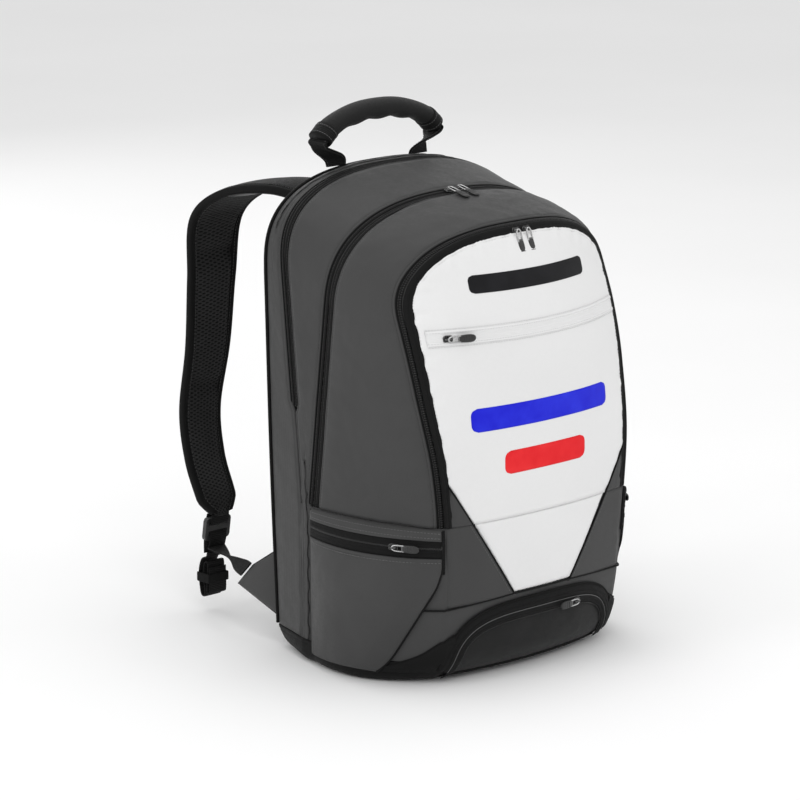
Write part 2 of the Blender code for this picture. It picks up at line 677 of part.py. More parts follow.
def build_handle():
    """A padded grip on a loop of webbing, whose two feet are sewn into the seam behind the back zip."""
    y = 0.103
    marks = [Vector((x, y, z)) for x, z in ((-0.088, 0.5295), (-0.070, 0.5420), (-0.035, 0.5520), (0, 0.5545))]
    marks += [Vector((-p.x, p.y, p.z)) for p in reversed(marks[:-1])]
    line = smooth_line(marks, 3)
    loops = []
    for i, point in enumerate(line):
        along = (line[min(i + 1, len(line) - 1)] - line[max(i - 1, 0)]).normalized()
        up = along.cross(Vector((0, 1, 0))).normalized()
        loop = []
        for k in range(8):
            angle = math.radians(45 * k + 22.5)
            loop.append(point + Vector((0, 0.016, 0)) * math.cos(angle) + up * 0.012 * math.sin(angle))
        loops.append(loop)
    loft("handle_grip", loops, BLACK, HANDLE_PIVOT)
    for name, sign in SIDES:
        marks = smooth_line([Vector((x, t, z)) for x, z, t in HANDLE_WEB_MARKS], 3)
        line = [mirrored(Vector((m.x, HANDLE_PIVOT.y + 0.001 * m.y, m.z)), sign) for m in marks]
        turns = [min(m.y, 1.0) * math.pi / 2 for m in marks]
        across = [Vector((-sign * math.cos(a), -math.sin(a), 0)) for a in turns]
        band("handle_webbing_" + name, line, across, 0.027, 0.0024, WEB, HANDLE_PIVOT)


# ---- shoulder straps ------------------------------------------------------------------------------------
STRAP_MARKS = (  # centre line of the left strap, from its seam on the back to its lower end, and its width
    ((-0.068, 0.1095, 0.4700), 0.060),
    ((-0.076, 0.1550, 0.4790), 0.063),
    ((-0.083, 0.2150, 0.4690), 0.066),
    ((-0.087, 0.2600, 0.4330), 0.065),
    ((-0.087, 0.2670, 0.3650), 0.062),
    ((-0.089, 0.2720, 0.2900), 0.058),
    ((-0.095, 0.2790, 0.2200), 0.053),
    ((-0.099, 0.2680, 0.1700), 0.051),
    ((-0.100, 0.2520, 0.1350), 0.050),
    ((-0.100, 0.2380, 0.1080), 0.047),
)
STRAP_SECTION = (  # corners of the strap's section, as shares of its width and thickness
    (0.5, 0.2), (0.42, 0.5), (-0.42, 0.5), (-0.5, 0.2), (-0.5, -0.2), (-0.42, -0.5), (0.42, -0.5), (0.5, -0.2)
)
BUCKLE = Vector((-0.1005, 0.2420, 0.1000))  # where the ladder lock is sewn to the strap's end
WING_TIP = Vector((-0.130, 0.1650, 0.0620))
TAIL_PIVOT = BUCKLE + Vector((0, 0.0085, -0.0290))


def strap_pivot(sign):
    return Vector((sign * 0.068, STRAP_PIVOT.y, STRAP_PIVOT.z))


def build_strap(name, sign):
    marks = [Vector(m) for m, _ in STRAP_MARKS]
    widths = [w for _, w in STRAP_MARKS]
    line = smooth_line(marks, 2)
    loops = []
    for i, point in enumerate(line):
        along = (line[min(i + 1, len(line) - 1)] - line[max(i - 1, 0)]).normalized()
        side = Vector((1, 0, 0))
        side = (side - along * side.dot(along)).normalized()
        up = along.cross(side).normalized()
        share = i / 2
        low = min(int(share), len(widths) - 2)
        width = widths[low] + (widths[low + 1] - widths[low]) * (share - low)
        loop = []
        for a, b in STRAP_SECTION:
            loop.append(mirrored(point + side * width * a + up * STRAP_THICK * b, sign))
        loops.append(loop)
    loft("shoulder_strap_" + name, loops, MESH, strap_pivot(sign))


def build_buckle(name, sign):
    """A ladder lock: a plastic frame with two slots, on the end of the strap."""
    centre = BUCKLE + Vector((0, 0.006, -0.006))
    down = Vector((0, 0.15, -1)).normalized()
    out = Vector((0, 1, 0.15)).normalized()
    across = Vector((1, 0, 0))
    outline = []
    for x, y in rounded(0.013, 0.0175, 0.004):
        outline.append(mirrored(centre + down * x + across * y - out * 0.0025, sign))
    made = prism("ladder_lock_" + name, outline, out * 0.005, PLASTIC, strap_pivot(sign))
    for k, offset in enumerate((-0.0055, 0.0045)):
        slot = []
        for x, y in rounded(0.0022, 0.0132, 0.001, centre_x=offset):
            slot.append(mirrored(centre + down * x + across * y - out * 0.008, sign))
        cutter = prism(f"slot_{name}_{k}", slot, out * 0.016, PLASTIC)
        cutter.hide_render = True
        cutter.display_type = "WIRE"
        hole = made.modifiers.new("Slot", "BOOLEAN")
        hole.operation = "DIFFERENCE"
        hole.object = cutter


def build_wing(name, sign):
    """The sewn triangle at the bag's lower corner that the strap's webbing comes out of."""
    x = -0.1285
    corners = ((0.1028, 0.108), (0.156, 0.0745), (0.1785, 0.0510), (0.1028, 0.024))
    outline = [mirrored(Vector((x, y, z)), sign) for y, z in corners]
    prism("strap_wing_" + name, outline, Vector((sign * 0.0035, 0, 0)), BLACK)
    reach = Vector((0, 0.707, 0.707))
    start = WING_TIP + reach * 0.011
    end = BUCKLE + Vector((0, 0.0070, -0.0275))
    steps = [i / 14 for i in range(15)]
    line = [start.lerp(end, t) for t in steps]
    edge_on = Vector((0, 0.707, -0.707))
    across = [edge_on.lerp(Vector((1, 0, 0)), t) for t in steps]
    line = [mirrored(p, sign) for p in line]
    across = [mirrored(a, sign) for a in across]
    band("lower_webbing_" + name, line, across, WEBBING, WEBBING_THICK, WEB)


def build_tail(name, sign):
    """The spare webbing, folded into a flat hank that hangs from the ladder lock."""
    top = BUCKLE + Vector((0.004, 0.0090, -0.0340))
    side_view = ((0, 0), (0.010, -0.004), (0.016, -0.020), (0.012, -0.046), (0.002, -0.052), (-0.006, -0.044))
    points = [mirrored(top + Vector((-0.0125, y, z)), sign) for y, z in side_view + ((-0.006, -0.012),)]
    prism("webbing_tail_" + name, points, Vector((-sign * 0.025, 0, 0)), WEB, mirrored(TAIL_PIVOT, sign))


# ---- the whole bag ------------------------------------------------------------------------------------
def clear_scene():
    for old in list(bpy.data.objects):
        bpy.data.objects.remove(old)


def top_arc(hoop, reach):
    """(centre, axis, radius) of the circle through a hoop's top and the two points at +-reach beside it."""
    power = hoop["power"]
    spring = hoop["top"] - hoop["arch"]
    half = graded(hoop["half"], spring)
    z = spring + hoop["arch"] * (1 - (reach / half) ** power) ** (1 / power)
    top = Vector((0, hoop_y(hoop, 0, hoop["top"]), hoop["top"]))
    drop = Vector((0, hoop_y(hoop, reach, z), z)) - top
    radius = (reach**2 + drop.length**2) / (2 * drop.length)
    inward = drop.normalized()
    return top + inward * radius, Vector((1, 0, 0)).cross(inward), radius


def build_top_sliders(hoop, stem, inset, lean):
    """Two sliders that meet at the top of a hoop, with their pullers lying side by side."""
    centre, axis, _ = top_arc(hoop, 0.07)
    top = hoop_line(hoop, RIM_Z, inset=inset)
    top = max((p for p, _ in top), key=lambda p: p.z)
    away = (top - centre).normalized() + Vector((0, -lean[0], 0))
    for name, sign in SIDES:
        turn = Matrix.Rotation(sign * 0.0072 / (top - centre).length, 4, axis)
        origin = centre + turn @ (top - centre)
        build_slider(f"{stem}_{name}", origin, Vector((1, 0, 0)), away, Vector((0, -1, -lean[1])))


def build_zip_hardware():
    build_top_sliders(MAIN_ZIP, "main", -0.0007, (0.12, 0.25))
    build_top_sliders(FLAP_ZIP, "flap", 0.0052, (1.6, 2.6))
    for name, sign in SIDES:
        line = pocket_line(0.1480, 0.0210, count=25)
        point, ahead = mirrored(line[17], sign), mirrored(line[18], sign)
        travel = ahead - point
        away = Vector((0, 0, sign)).cross(travel)
        build_slider("pocket_" + name, point, travel, away, travel, lift=0.0010)
    up = Vector((0, 0, 1))
    point, ahead = on_front(-0.112, FLAP_POCKET_Z, 0.0028), on_front(-0.108, FLAP_POCKET_Z, 0.0028)
    travel = ahead - point
    build_slider("front", point, travel, travel.cross(up), travel)
    z = SHOE_TOP_Z - 0.006
    point, ahead = on_front(0.048, z, 0.0050), on_front(0.044, z, 0.0050)
    travel = ahead - point
    build_slider("shoe", point, travel, up.cross(travel), travel, lift=0.0010)
    low, high = 0.300, 0.310
    point, above = (Vector((graded(BACK_ZIP["half"], z), hoop_y(BACK_ZIP, 0, z), z)) for z in (low, high))
    travel = above - point
    build_slider("back", point, travel, Vector((1, 0, 0)), -travel, lift=0.0015)


def main():
    clear_scene()
    build_lower_shell()
    build_base_board()
    build_shoe_tunnel()
    build_shoe_door()
    build_shoe_zip()
    build_lower_front()
    build_mid_gusset()
    build_back_gusset()
    build_front_gusset()
    build_flap()
    build_front_pocket()
    build_back()
    for name, sign in SIDES:
        build_side_pocket(name, sign)
        build_strap(name, sign)
        build_buckle(name, sign)
        build_wing(name, sign)
        build_tail(name, sign)
    build_handle()
    build_zip_hardware()


main()
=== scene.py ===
"""Racket backpack: the look of the bag, built in fabric, zips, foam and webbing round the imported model.

Frame: metres, +Z up, -Y is the front of the bag, +Y the wearer's side, the origin the middle of its base.
The bag's skin hangs on four hoops, as in the CAD source: back edge, back zip, main zip and flap zip.
"""

import math

import bmesh
import bpy
import numpy as np
from mathutils import Matrix, Vector, noise
from mathutils.bvhtree import BVHTree


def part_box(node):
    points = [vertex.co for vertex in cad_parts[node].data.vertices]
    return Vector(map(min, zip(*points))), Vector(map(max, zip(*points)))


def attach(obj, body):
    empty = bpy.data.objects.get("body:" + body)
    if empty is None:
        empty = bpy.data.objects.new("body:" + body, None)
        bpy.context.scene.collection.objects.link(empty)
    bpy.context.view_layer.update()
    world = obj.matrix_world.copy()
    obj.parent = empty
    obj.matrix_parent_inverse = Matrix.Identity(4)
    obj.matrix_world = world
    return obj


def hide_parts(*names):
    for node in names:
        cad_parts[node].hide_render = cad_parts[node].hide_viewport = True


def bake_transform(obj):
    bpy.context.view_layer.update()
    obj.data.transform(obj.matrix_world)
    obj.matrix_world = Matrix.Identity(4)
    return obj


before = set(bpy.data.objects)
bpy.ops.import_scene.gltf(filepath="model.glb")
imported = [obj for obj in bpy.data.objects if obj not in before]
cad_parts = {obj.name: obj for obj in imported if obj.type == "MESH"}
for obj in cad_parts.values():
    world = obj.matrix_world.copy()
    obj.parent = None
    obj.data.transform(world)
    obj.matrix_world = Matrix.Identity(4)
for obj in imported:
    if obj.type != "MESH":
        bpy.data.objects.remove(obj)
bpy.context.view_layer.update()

# ---- the bag's skin, in the CAD source's own numbers ----
BACK_Y = 0.102
RIM_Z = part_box("lower_shell")[1].z
BACK_ZIP_END_Z = 0.285
FRONT_RADIUS, SIDE_RADIUS = 0.034, 0.012
TAPE = 0.0105
SIDE_STEPS, ARCH_STEPS = 60, 80

# Each hoop: half width by height, top, height and roundness of its arch, its depth as (at height, y, slope)
BACK_EDGE = {
    "half": ((0, 0.142), (0.2, 0.151), (0.4, 0.157)),
    "top": 0.499, "arch": 0.090, "power": 2.6, "lean": (0, BACK_Y, 0),
}
BACK_ZIP = {
    "half": ((0, 0.160), (0.2, 0.161), (0.4, 0.163)),
    "top": 0.502, "arch": 0.092, "power": 2.6, "lean": (0.285, 0.056, 0.09),
}
MAIN_ZIP = {
    "half": ((0, 0.162), (0.165, 0.163), (0.4, 0.164)),
    "top": 0.480, "arch": 0.098, "power": 2.5, "lean": (0.165, 0.0275, -0.122),
}
FLAP_ZIP = {
    "half": (
        (0, 0.118), (0.07, 0.127), (0.165, 0.131), (0.23, 0.137), (0.30, 0.144), (0.36, 0.147), (0.40, 0.147)
    ),
    "top": 0.458, "arch": 0.085, "power": 2.5,
}
FRONT_Y = (
    (0, -0.132), (0.07, -0.140), (0.17, -0.143), (0.30, -0.143), (0.36, -0.137), (0.42, -0.121), (0.458, -0.104)
)
FRONT_CURVE = (
    (0, 0.016), (0.165, 0.012), (0.23, 0.015), (0.30, 0.029), (0.36, 0.040), (0.40, 0.044), (0.458, 0.034)
)
FLAP_POCKET_Z, FLAP_POCKET_HALF = 0.358, 0.1325
WHITE_LOW_Z, WHITE_LOW_HALF = 0.087, 0.040  # lower corners of the white front
WHITE_HIGH_Z = 0.215  # its slanting sides reach the flap zip here
SHOE_TOP_Z, SHOE_LOW_Z, SHOE_HALF = 0.068, 0.008, 0.112
BASE_SKIN_Z = 0.0262  # the black cloth round the foot reaches this high
SIDES = (("left", -1), ("right", 1))

# (distance in from a fabric edge, height of its surface): a turned, stitched hem, and a plain seam
HEM = (
    (0.0, -0.0018), (0.0003, 0.0002), (0.0010, 0.0012), (0.0022, 0.0014),
    (0.0031, 0.0007), (0.0040, 0.0014), (0.0065, 0.0017), (0.012, 0.0017),
)
SEAM = (
    (0.0, -0.0014), (0.0006, -0.0004), (0.0018, 0.0007), (0.0040, 0.0012), (0.0080, 0.0016), (0.012, 0.0017),
)
STITCH_IN = 0.0031
ZIP_ROOM, MAIN_ZIP_ROOM, LID_ROOM = 0.0066, 0.0070, 0.0086  # from a zip's middle to the cloth beside it


def graded(rows, z):
    """Value at height z on a smooth curve through (height, value) rows."""
    if z <= rows[0][0]:
        return rows[0][1]
    for i in range(len(rows) - 1):
        (z0, v0), (z1, v1) = rows[i], rows[i + 1]
        if z <= z1:
            before, after = rows[max(i - 1, 0)], rows[min(i + 2, len(rows) - 1)]
            start = (v1 - before[1]) / (z1 - before[0])
            end = (after[1] - v0) / (after[0] - z0)
            t, span = (z - z0) / (z1 - z0), z1 - z0
            return (
                (2 * t**3 - 3 * t**2 + 1) * v0
                + (t**3 - 2 * t**2 + t) * span * start
                + (3 * t**2 - 2 * t**3) * v1
                + (t**3 - t**2) * span * end
            )
    return rows[-1][1]


def powered(value, power):
    """A sine or cosine raised to a power, with its sign kept: it squares a circle's corners."""
    return math.copysign(abs(value) ** power, value)


def undercut(z, radius):
    """How far a wall is drawn in at height z by its rounding into the base."""
    if z >= radius:
        return 0.0
    return radius - math.sqrt(radius**2 - (radius - z) ** 2)


def front_y(x, z):
    """Depth of the domed front over the point (x, z) of the front view."""
    share = min(abs(x) / graded(FLAP_ZIP["half"], z), 1.1)
    return graded(FRONT_Y, z) + graded(FRONT_CURVE, z) * share**2 + undercut(z, FRONT_RADIUS)


def on_front(x, z, lift):
    """A point that stands off the domed front by lift, square to it."""
    step = 0.002
    slope_x = (front_y(x + step, z) - front_y(x - step, z)) / (2 * step)
    slope_z = (front_y(x, z + step) - front_y(x, z - step)) / (2 * step)
    return Vector((x, front_y(x, z), z)) + Vector((slope_x, -1, slope_z)).normalized() * lift


def hoop_y(hoop, x, z):
    """Depth of a hoop at the point (x, z) of the front view."""
    if hoop is FLAP_ZIP:
        return front_y(x, z)
    level, depth, slope = hoop["lean"]
    return depth + slope * (max(z, RIM_Z) - level)


def unit(rows):
    return rows / np.maximum(np.linalg.norm(rows, axis=-1, keepdims=True), 1e-12)


def travelled(line):
    """Distance along a line of points, from its start to each point."""
    return np.concatenate([[0.0], np.cumsum(np.linalg.norm(np.diff(line, axis=0), axis=1))])


def resampled(line, count):
    """The line again, as count points at equal distances."""
    line = np.asarray(line, float)
    at = travelled(line)
    steps = np.linspace(0, at[-1], count)
    return np.stack([np.interp(steps, at, line[:, k]) for k in range(line.shape[1])], axis=1)


def hoop_points(hoop, low, inset=0.0):
    """Points along a hoop, from its left foot at height low, over the top, to its right foot."""
    spring = hoop["top"] - hoop["arch"]
    heights = np.linspace(low, spring, SIDE_STEPS + 1)
    side = [(graded(hoop["half"], z) - inset, z) for z in heights]
    width, rise, power = graded(hoop["half"], spring) - inset, hoop["arch"] - inset, hoop["power"]
    arch = []
    for angle in np.linspace(math.pi, 0, 400):
        c, s = math.cos(angle), max(math.sin(angle), 0.0)
        arch.append((width * powered(c, 2 / power), spring + rise * s ** (2 / power)))
    arch = resampled(arch, ARCH_STEPS + 1)
    left = [(-x, z) for x, z in side[:-1]]
    line = left + [tuple(p) for p in arch] + [(-x, z) for x, z in reversed(left)]
    return np.array([(x, hoop_y(hoop, x, z), z) for x, z in line])


class Skin:
    """The skin between two hoops: places on it are a share of the way from the back one to the front one."""

    def __init__(self, back, front, low, bulge=0.0):
        self.back, self.front, self.bulge = hoop_points(back, low), hoop_points(front, low), bulge
        across = self.front - self.back
        self.span = np.linalg.norm(across, axis=1)
        along = np.gradient(self.back + self.front, axis=0)
        self.out = unit(np.cross(across, along))

    def row(self, share, lift=0.0):
        """Points at a share of the depth. Share and lift are numbers, or one value for each column."""
        share = np.broadcast_to(np.asarray(share, float), self.span.shape)[:, None]
        lift = np.broadcast_to(np.asarray(lift, float), self.span.shape)[:, None]
        swell = 4 * self.bulge * share * (1 - share) * (0.3 + 0.7 * self.out[:, :1] ** 2)
        return self.back + (self.front - self.back) * share + self.out * (swell + lift)

    def in_from_back(self, distance):
        return distance / self.span

    def in_from_front(self, distance):
        return 1 - distance / self.span


# ---- materials ----
class Nodes:
    """A material's node tree, with short calls to add to it."""

    def __init__(self, name, roughness, metallic=0.0, sheen=0.0, coat=0.0, specular=0.5):
        self.material = bpy.data.materials.new(name)
        self.material.use_nodes = True
        self.tree = self.material.node_tree
        self.shader = self.tree.nodes["Principled BSDF"]
        for socket, value in (
            ("Roughness", roughness), ("Metallic", metallic), ("Specular IOR Level", specular),
            ("Sheen Weight", sheen), ("Sheen Roughness", 0.45), ("Coat Weight", coat), ("Coat Roughness", 0.25),
        ):
            self.shader.inputs[socket].default_value = value

    def add(self, kind, inputs=(), **settings):
        node = self.tree.nodes.new("ShaderNode" + kind)
        for key, value in settings.items():
            setattr(node, key, value)
        for socket, value in dict(inputs).items():
            if isinstance(value, bpy.types.NodeSocket):
                self.tree.links.new(value, node.inputs[socket])
            else:
                node.inputs[socket].default_value = value
        return node

    def math(self, operation, a, b=0.0):
        return self.add("Math", {0: a, 1: b}, operation=operation).outputs[0]

    def blend(self, share, a, b):
        """A colour between a and b."""
        return self.add("Mix", {0: share, 6: a, 7: b}, data_type="RGBA").outputs[2]

    def ramp(self, source, low, high):
        """0 to 1 as source goes from low to high."""
        return self.add("MapRange", {0: source, 1: low, 2: high}).outputs[0]

    def wave(self, vector, pitch, direction):
        """A sine wave along one axis of vector, one ridge for each pitch in metres."""
        inputs = {"Vector": vector, "Scale": math.pi / 10 / pitch}
        return self.add("TexWave", inputs, bands_direction=direction, wave_profile="SIN").outputs["Fac"]

    def cross(self, first, second, more=0.0):
        """One wave times another, which is raised by more."""
        return self.math("MULTIPLY", first, self.math("ADD", second, more) if more else second)

    def rough(self, source, low, high, roughness, below, above):
        """Roughness from below to above the usual as source goes from low to high."""
        ends = {0: source, 1: low, 2: high, 3: roughness - below, 4: roughness + above}
        return self.add("MapRange", ends).outputs[0]

    def place(self):
        return self.add("TexCoord").outputs["Object"]

    def weave_map(self):
        return self.add("UVMap", uv_map="Weave").outputs["UV"]

    def turned(self, vector):
        return self.add("Mapping", {"Vector": vector, "Rotation": (0, 0, math.radians(45))}).outputs[0]

    def noise(self, vector, scale, detail=3.0):
        return self.add("TexNoise", {"Vector": vector, "Scale": scale, "Detail": detail}).outputs["Fac"]

    def finish(self, colour, height=None, depth=0.0002, roughness=None):
        links = self.tree.links
        links.new(colour, self.shader.inputs["Base Color"])
        if roughness is not None:
            links.new(roughness, self.shader.inputs["Roughness"])
        if height is not None:
            bump = self.add("Bump", {"Height": height, "Distance": depth, "Strength": 1.0})
            links.new(bump.outputs["Normal"], self.shader.inputs["Normal"])
        return self.material


def rgb(value):
    """A grey or a colour as RGBA."""
    colour = (value,) * 3 if isinstance(value, (int, float)) else tuple(value)
    return (*colour, 1.0)


def woven(name, dark, light, pitch, depth, roughness, pattern="plain", sheen=0.2, specular=0.4, uv=True):
    """Woven cloth. Its threads are pitch apart, and its colour drifts a little between dark and light."""
    n = Nodes(name, roughness, sheen=sheen, specular=specular)
    place = n.place()
    threads = n.weave_map() if uv else place
    if pattern == "twill":
        weave = n.cross(n.wave(n.turned(threads), pitch, "X"), n.wave(threads, pitch / 2, "Y"), 0.6)
    elif pattern == "rib":
        weave = n.cross(n.wave(threads, pitch, "X"), n.wave(threads, pitch / 2, "Y"), 0.7)
    else:
        weave = n.cross(n.wave(threads, pitch, "X"), n.wave(threads, pitch, "Y"))
    drift = n.noise(place, 9.0)
    fine = n.noise(place, 260.0, 2.0)
    tone = n.math("ADD", n.math("MULTIPLY", drift, 0.55), n.math("MULTIPLY", weave, 0.25))
    tone = n.math("ADD", tone, n.math("MULTIPLY", fine, 0.25))
    colour = n.blend(n.ramp(tone, 0.25, 0.85), rgb(dark), rgb(light))
    height = n.math("ADD", weave, n.math("MULTIPLY", fine, 0.35))
    return n.finish(colour, height, depth, n.rough(fine, 0.3, 0.7, roughness, 0.05, 0.07))


def netting(name, thread, hole, pitch, uv=True):
    """Spacer mesh: a knitted net with rows of holes, painted near black as painted shade inside them."""
    n = Nodes(name, 0.85, sheen=0.06, specular=0.15)
    place = n.place()
    if uv:
        source = n.weave_map()
    else:
        facing = {"Vector": place, "Scale": (1, 0, 1), "Rotation": (math.radians(-90), 0, 0)}
        source = n.add("Mapping", facing).outputs[0]
    holes = {"Vector": n.turned(source), "Scale": 1 / pitch, "Randomness": 0.0}
    cells = n.add("TexVoronoi", holes, feature="F1")
    open_share = n.ramp(cells.outputs["Distance"], 0.42, 0.24)
    drift = n.noise(place, 14.0)
    threads = n.blend(n.ramp(drift, 0.3, 0.7), rgb(thread * 0.8), rgb(thread * 1.25))
    # Painted shade: the holes take the near-black hole colour.
    colour = n.blend(open_share, threads, rgb(hole))
    ribs = n.math("MULTIPLY", n.wave(source, pitch / 2, "X"), 0.25)
    height = n.math("SUBTRACT", ribs, open_share)
    return n.finish(colour, height, 0.0007)


def moulded(name, dark, light, roughness, coat=0.1):
    """Fine-grained plastic, paler where its edges have rubbed."""
    n = Nodes(name, roughness, coat=coat)
    place = n.place()
    grain = n.noise(place, 1400.0, 2.0)
    worn = n.ramp(n.add("NewGeometry").outputs["Pointiness"], 0.54, 0.62)
    patches = n.math("MULTIPLY", worn, n.noise(place, 120.0))
    colour = n.blend(patches, rgb(dark), rgb(light))
    return n.finish(colour, grain, 0.00008, n.rough(grain, 0.3, 0.7, roughness, 0.08, 0.1))


def plated(name, dark, light, roughness):
    """Gunmetal: plated die-cast metal with rubbed edges and small scratches."""
    n = Nodes(name, roughness, metallic=1.0, specular=0.6)
    stretched = n.add("Mapping", {"Vector": n.place(), "Scale": (1, 1, 0.15)}).outputs[0]
    scratches = n.noise(stretched, 900.0, 4.0)
    worn = n.ramp(n.add("NewGeometry").outputs["Pointiness"], 0.52, 0.60)
    tone = n.math("ADD", n.math("MULTIPLY", worn, 0.6), n.math("MULTIPLY", scratches, 0.3))
    colour = n.blend(n.ramp(tone, 0.1, 0.8), rgb(dark), rgb(light))
    return n.finish(colour, scratches, 0.00003, n.rough(scratches, 0.35, 0.7, roughness, 0.06, 0.12))


PRINT_PITCH = 0.0009


def printed(name, colour, darker):
    """Ink printed on fabric: the weave shows through faintly."""
    n = Nodes(name, 0.5, specular=0.12)
    threads = n.weave_map()
    weave = n.cross(n.wave(threads, PRINT_PITCH, "X"), n.wave(threads, PRINT_PITCH, "Y"))
    mottle = n.noise(n.place(), 45.0)
    mixed = n.blend(n.ramp(mottle, 0.3, 0.75), rgb(colour), rgb(darker))
    return n.finish(mixed, weave, 0.00006)


GREY = woven("grey_polyester", 0.040, 0.056, 0.0008, 0.00005, 0.50, sheen=0.04, specular=0.20)
WHITE = woven("white_coated", 0.73, 0.79, 0.0010, 0.00004, 0.42, sheen=0.02, specular=0.4)



def black_cloth(name, light, pitch, depth, roughness, pattern, sheen=0.01, specular=0.09, dark=0.005):
    return woven(name, dark, light, pitch, depth, roughness, pattern, sheen, specular)


BLACK = black_cloth("black_polyester", 0.009, 0.0009, 0.00008, 0.55, "twill")
BLACK_FOOT = black_cloth("base_fabric", 0.008, 0.0014, 0.00012, 0.5, "twill", dark=0.004)
BINDING = black_cloth("edge_binding", 0.010, 0.0011, 0.00014, 0.7, "rib", 0.02, 0.08)
TAPE_CLOTH = black_cloth("zip_tape_weave", 0.010, 0.0012, 0.00016, 0.62, "rib", 0.02)
WEBBING = black_cloth("nylon_webbing", 0.010, 0.0019, 0.00030, 0.6, "rib", 0.02, 0.12)
GRIP = black_cloth("grip_cover", 0.017, 0.0012, 0.00014, 0.62, "twill", 0.08, 0.12, dark=0.009)
LINING = woven("lining_cloth", 0.035, 0.052, 0.0009, 0.00007, 0.65, sheen=0.08)
MESH = netting("spacer_mesh", 0.026, 0.0012, 0.0030)
MESH_3D = netting("spacer_mesh_pad", 0.024, 0.0012, 0.0034, uv=False)
THREAD_GREY = woven("thread_grey", 0.075, 0.110, 0.0005, 0.00005, 0.55, uv=False)
THREAD_BLACK = woven("thread_black", 0.016, 0.028, 0.0005, 0.00005, 0.55, uv=False)
THREAD_WHITE = woven("thread_white", 0.60, 0.70, 0.0005, 0.00005, 0.55, uv=False)
COIL = moulded("zip_coil", 0.010, 0.035, 0.35, coat=0.2)
PLASTIC = moulded("buckle_plastic", 0.008, 0.045, 0.38)
METAL = plated("gunmetal", 0.030, 0.26, 0.24)
BRIGHT = plated("polished_rod", 0.30, 0.72, 0.16)
BOARD = moulded("stiffener_board", 0.16, 0.24, 0.6, coat=0.0)
INK_BLUE = printed("ink_blue", (0.010, 0.012, 0.60), (0.020, 0.030, 0.70))
INK_RED = printed("ink_red", (0.74, 0.012, 0.018), (0.83, 0.030, 0.035))
INK_DARK = printed("ink_dark", (0.007, 0.007, 0.008), (0.012, 0.012, 0.014))


# ---- making pieces ----
def as_object(name, mesh, material):
    mesh.materials.append(material)
    mesh.shade_smooth()
    made = bpy.data.objects.new(name, mesh)
    bpy.context.scene.collection.objects.link(made)
    return made


def place(obj, body, slot, replaced=(), fill=None):
    """Settles a finished piece: what it moves with and the CAD nodes it replaces. Its slot and fill are not
    used.
    """
    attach(obj, body)
    if replaced:
        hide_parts(*replaced)


def quads(rows, columns, wrap):
    """Faces between rows of points, closed round each row where it wraps."""
    faces = []
    for r in range(rows - 1):
        for c in range(columns if wrap else columns - 1):
            a, b = r * columns + c, r * columns + (c + 1) % columns
            faces.append((a, b, b + columns, a + columns))
    return faces


def ends_of(rows, columns):
    """The two faces that close a loft of such rows."""
    last = (rows - 1) * columns
    return [tuple(range(columns))[::-1], tuple(range(last, last + columns))]


def mesh_of(name, points, faces):
    mesh = bpy.data.meshes.new(name)
    mesh.from_pydata(np.asarray(points, float).reshape(-1, 3).tolist(), [], faces)
    return mesh


def add_weave(mesh, columns, by_column, by_row, turned=False):
    """Lengths in metres as the UV map Weave: one value for each column and one for each row."""
    corner = np.zeros(len(mesh.loops), np.int32)
    mesh.loops.foreach_get("vertex_index", corner)
    pair = [by_column[corner % columns], by_row[corner // columns]]
    uv = np.stack(pair[::-1] if turned else pair, axis=1)
    mesh.uv_layers.new(name="Weave").data.foreach_set("uv", uv.astype(np.float32).ravel())


def face_outwards(mesh):
    shape = bmesh.new()
    shape.from_mesh(mesh)
    bmesh.ops.recalc_face_normals(shape, faces=shape.faces)
    shape.to_mesh(mesh)
    shape.free()


def cloth_grid(name, grid, material, thickness=0.0014, flip=False, wrap=False):
    """A sheet over rows of points, thickened inwards."""
    grid = np.asarray(grid, float)
    rows, columns = grid.shape[:2]
    faces = quads(rows, columns, wrap)
    mesh = mesh_of(name, grid, [f[::-1] for f in faces] if flip else faces)
    add_weave(mesh, columns, travelled(grid[rows // 2]), travelled(grid[:, columns // 2]))
    made = as_object(name, mesh, material)
    wall = made.modifiers.new("Wall", "SOLIDIFY")
    wall.thickness = thickness
    wall.offset = -1
    return made


def sweep(name, line, sides, ups, profile, material):
    """A closed section, as (along side, along up) pairs, carried along a line, with flat ends."""
    line, sides, ups, profile = (np.asarray(a, float) for a in (line, sides, ups, profile))
    if profile.ndim == 2:
        profile = np.broadcast_to(profile, (len(line), *profile.shape))
    rows, columns = profile.shape[:2]
    points = line[:, None] + sides[:, None] * profile[:, :, :1] + ups[:, None] * profile[:, :, 1:]
    mesh = mesh_of(name, points, quads(rows, columns, True) + ends_of(rows, columns))
    add_weave(mesh, columns, travelled(profile[0]), travelled(line), turned=True)
    face_outwards(mesh)
    return as_object(name, mesh, material)


def circle(count):
    """(cosine, sine) at count equal steps round a circle."""
    angles = [2 * math.pi * k / count for k in range(count)]
    return [(math.cos(angle), math.sin(angle)) for angle in angles]


def ring(radius_side, radius_up, count=10, flat=1.0):
    """A round or flattened section."""
    return [(radius_side * powered(c, flat), radius_up * powered(s, flat)) for c, s in circle(count)]


def frames_along(line, up_hint):
    """(side, up) directions at each point of a line, with up close to the hint."""
    line = np.asarray(line, float)
    along = unit(np.gradient(line, axis=0))
    hint = np.broadcast_to(np.asarray(up_hint, float), line.shape)
    side = unit(np.cross(along, hint))
    return side, unit(np.cross(side, along))


def square_to(line, across):
    """Directions square to a line and to its directions across."""
    return unit(np.cross(unit(np.gradient(line, axis=0)), across))


def tube(name, line, radius, material, up_hint=(0, 0, 1)):
    side, up = frames_along(line, up_hint)
    return sweep(name, line, side, up, ring(radius, radius, 8), material)


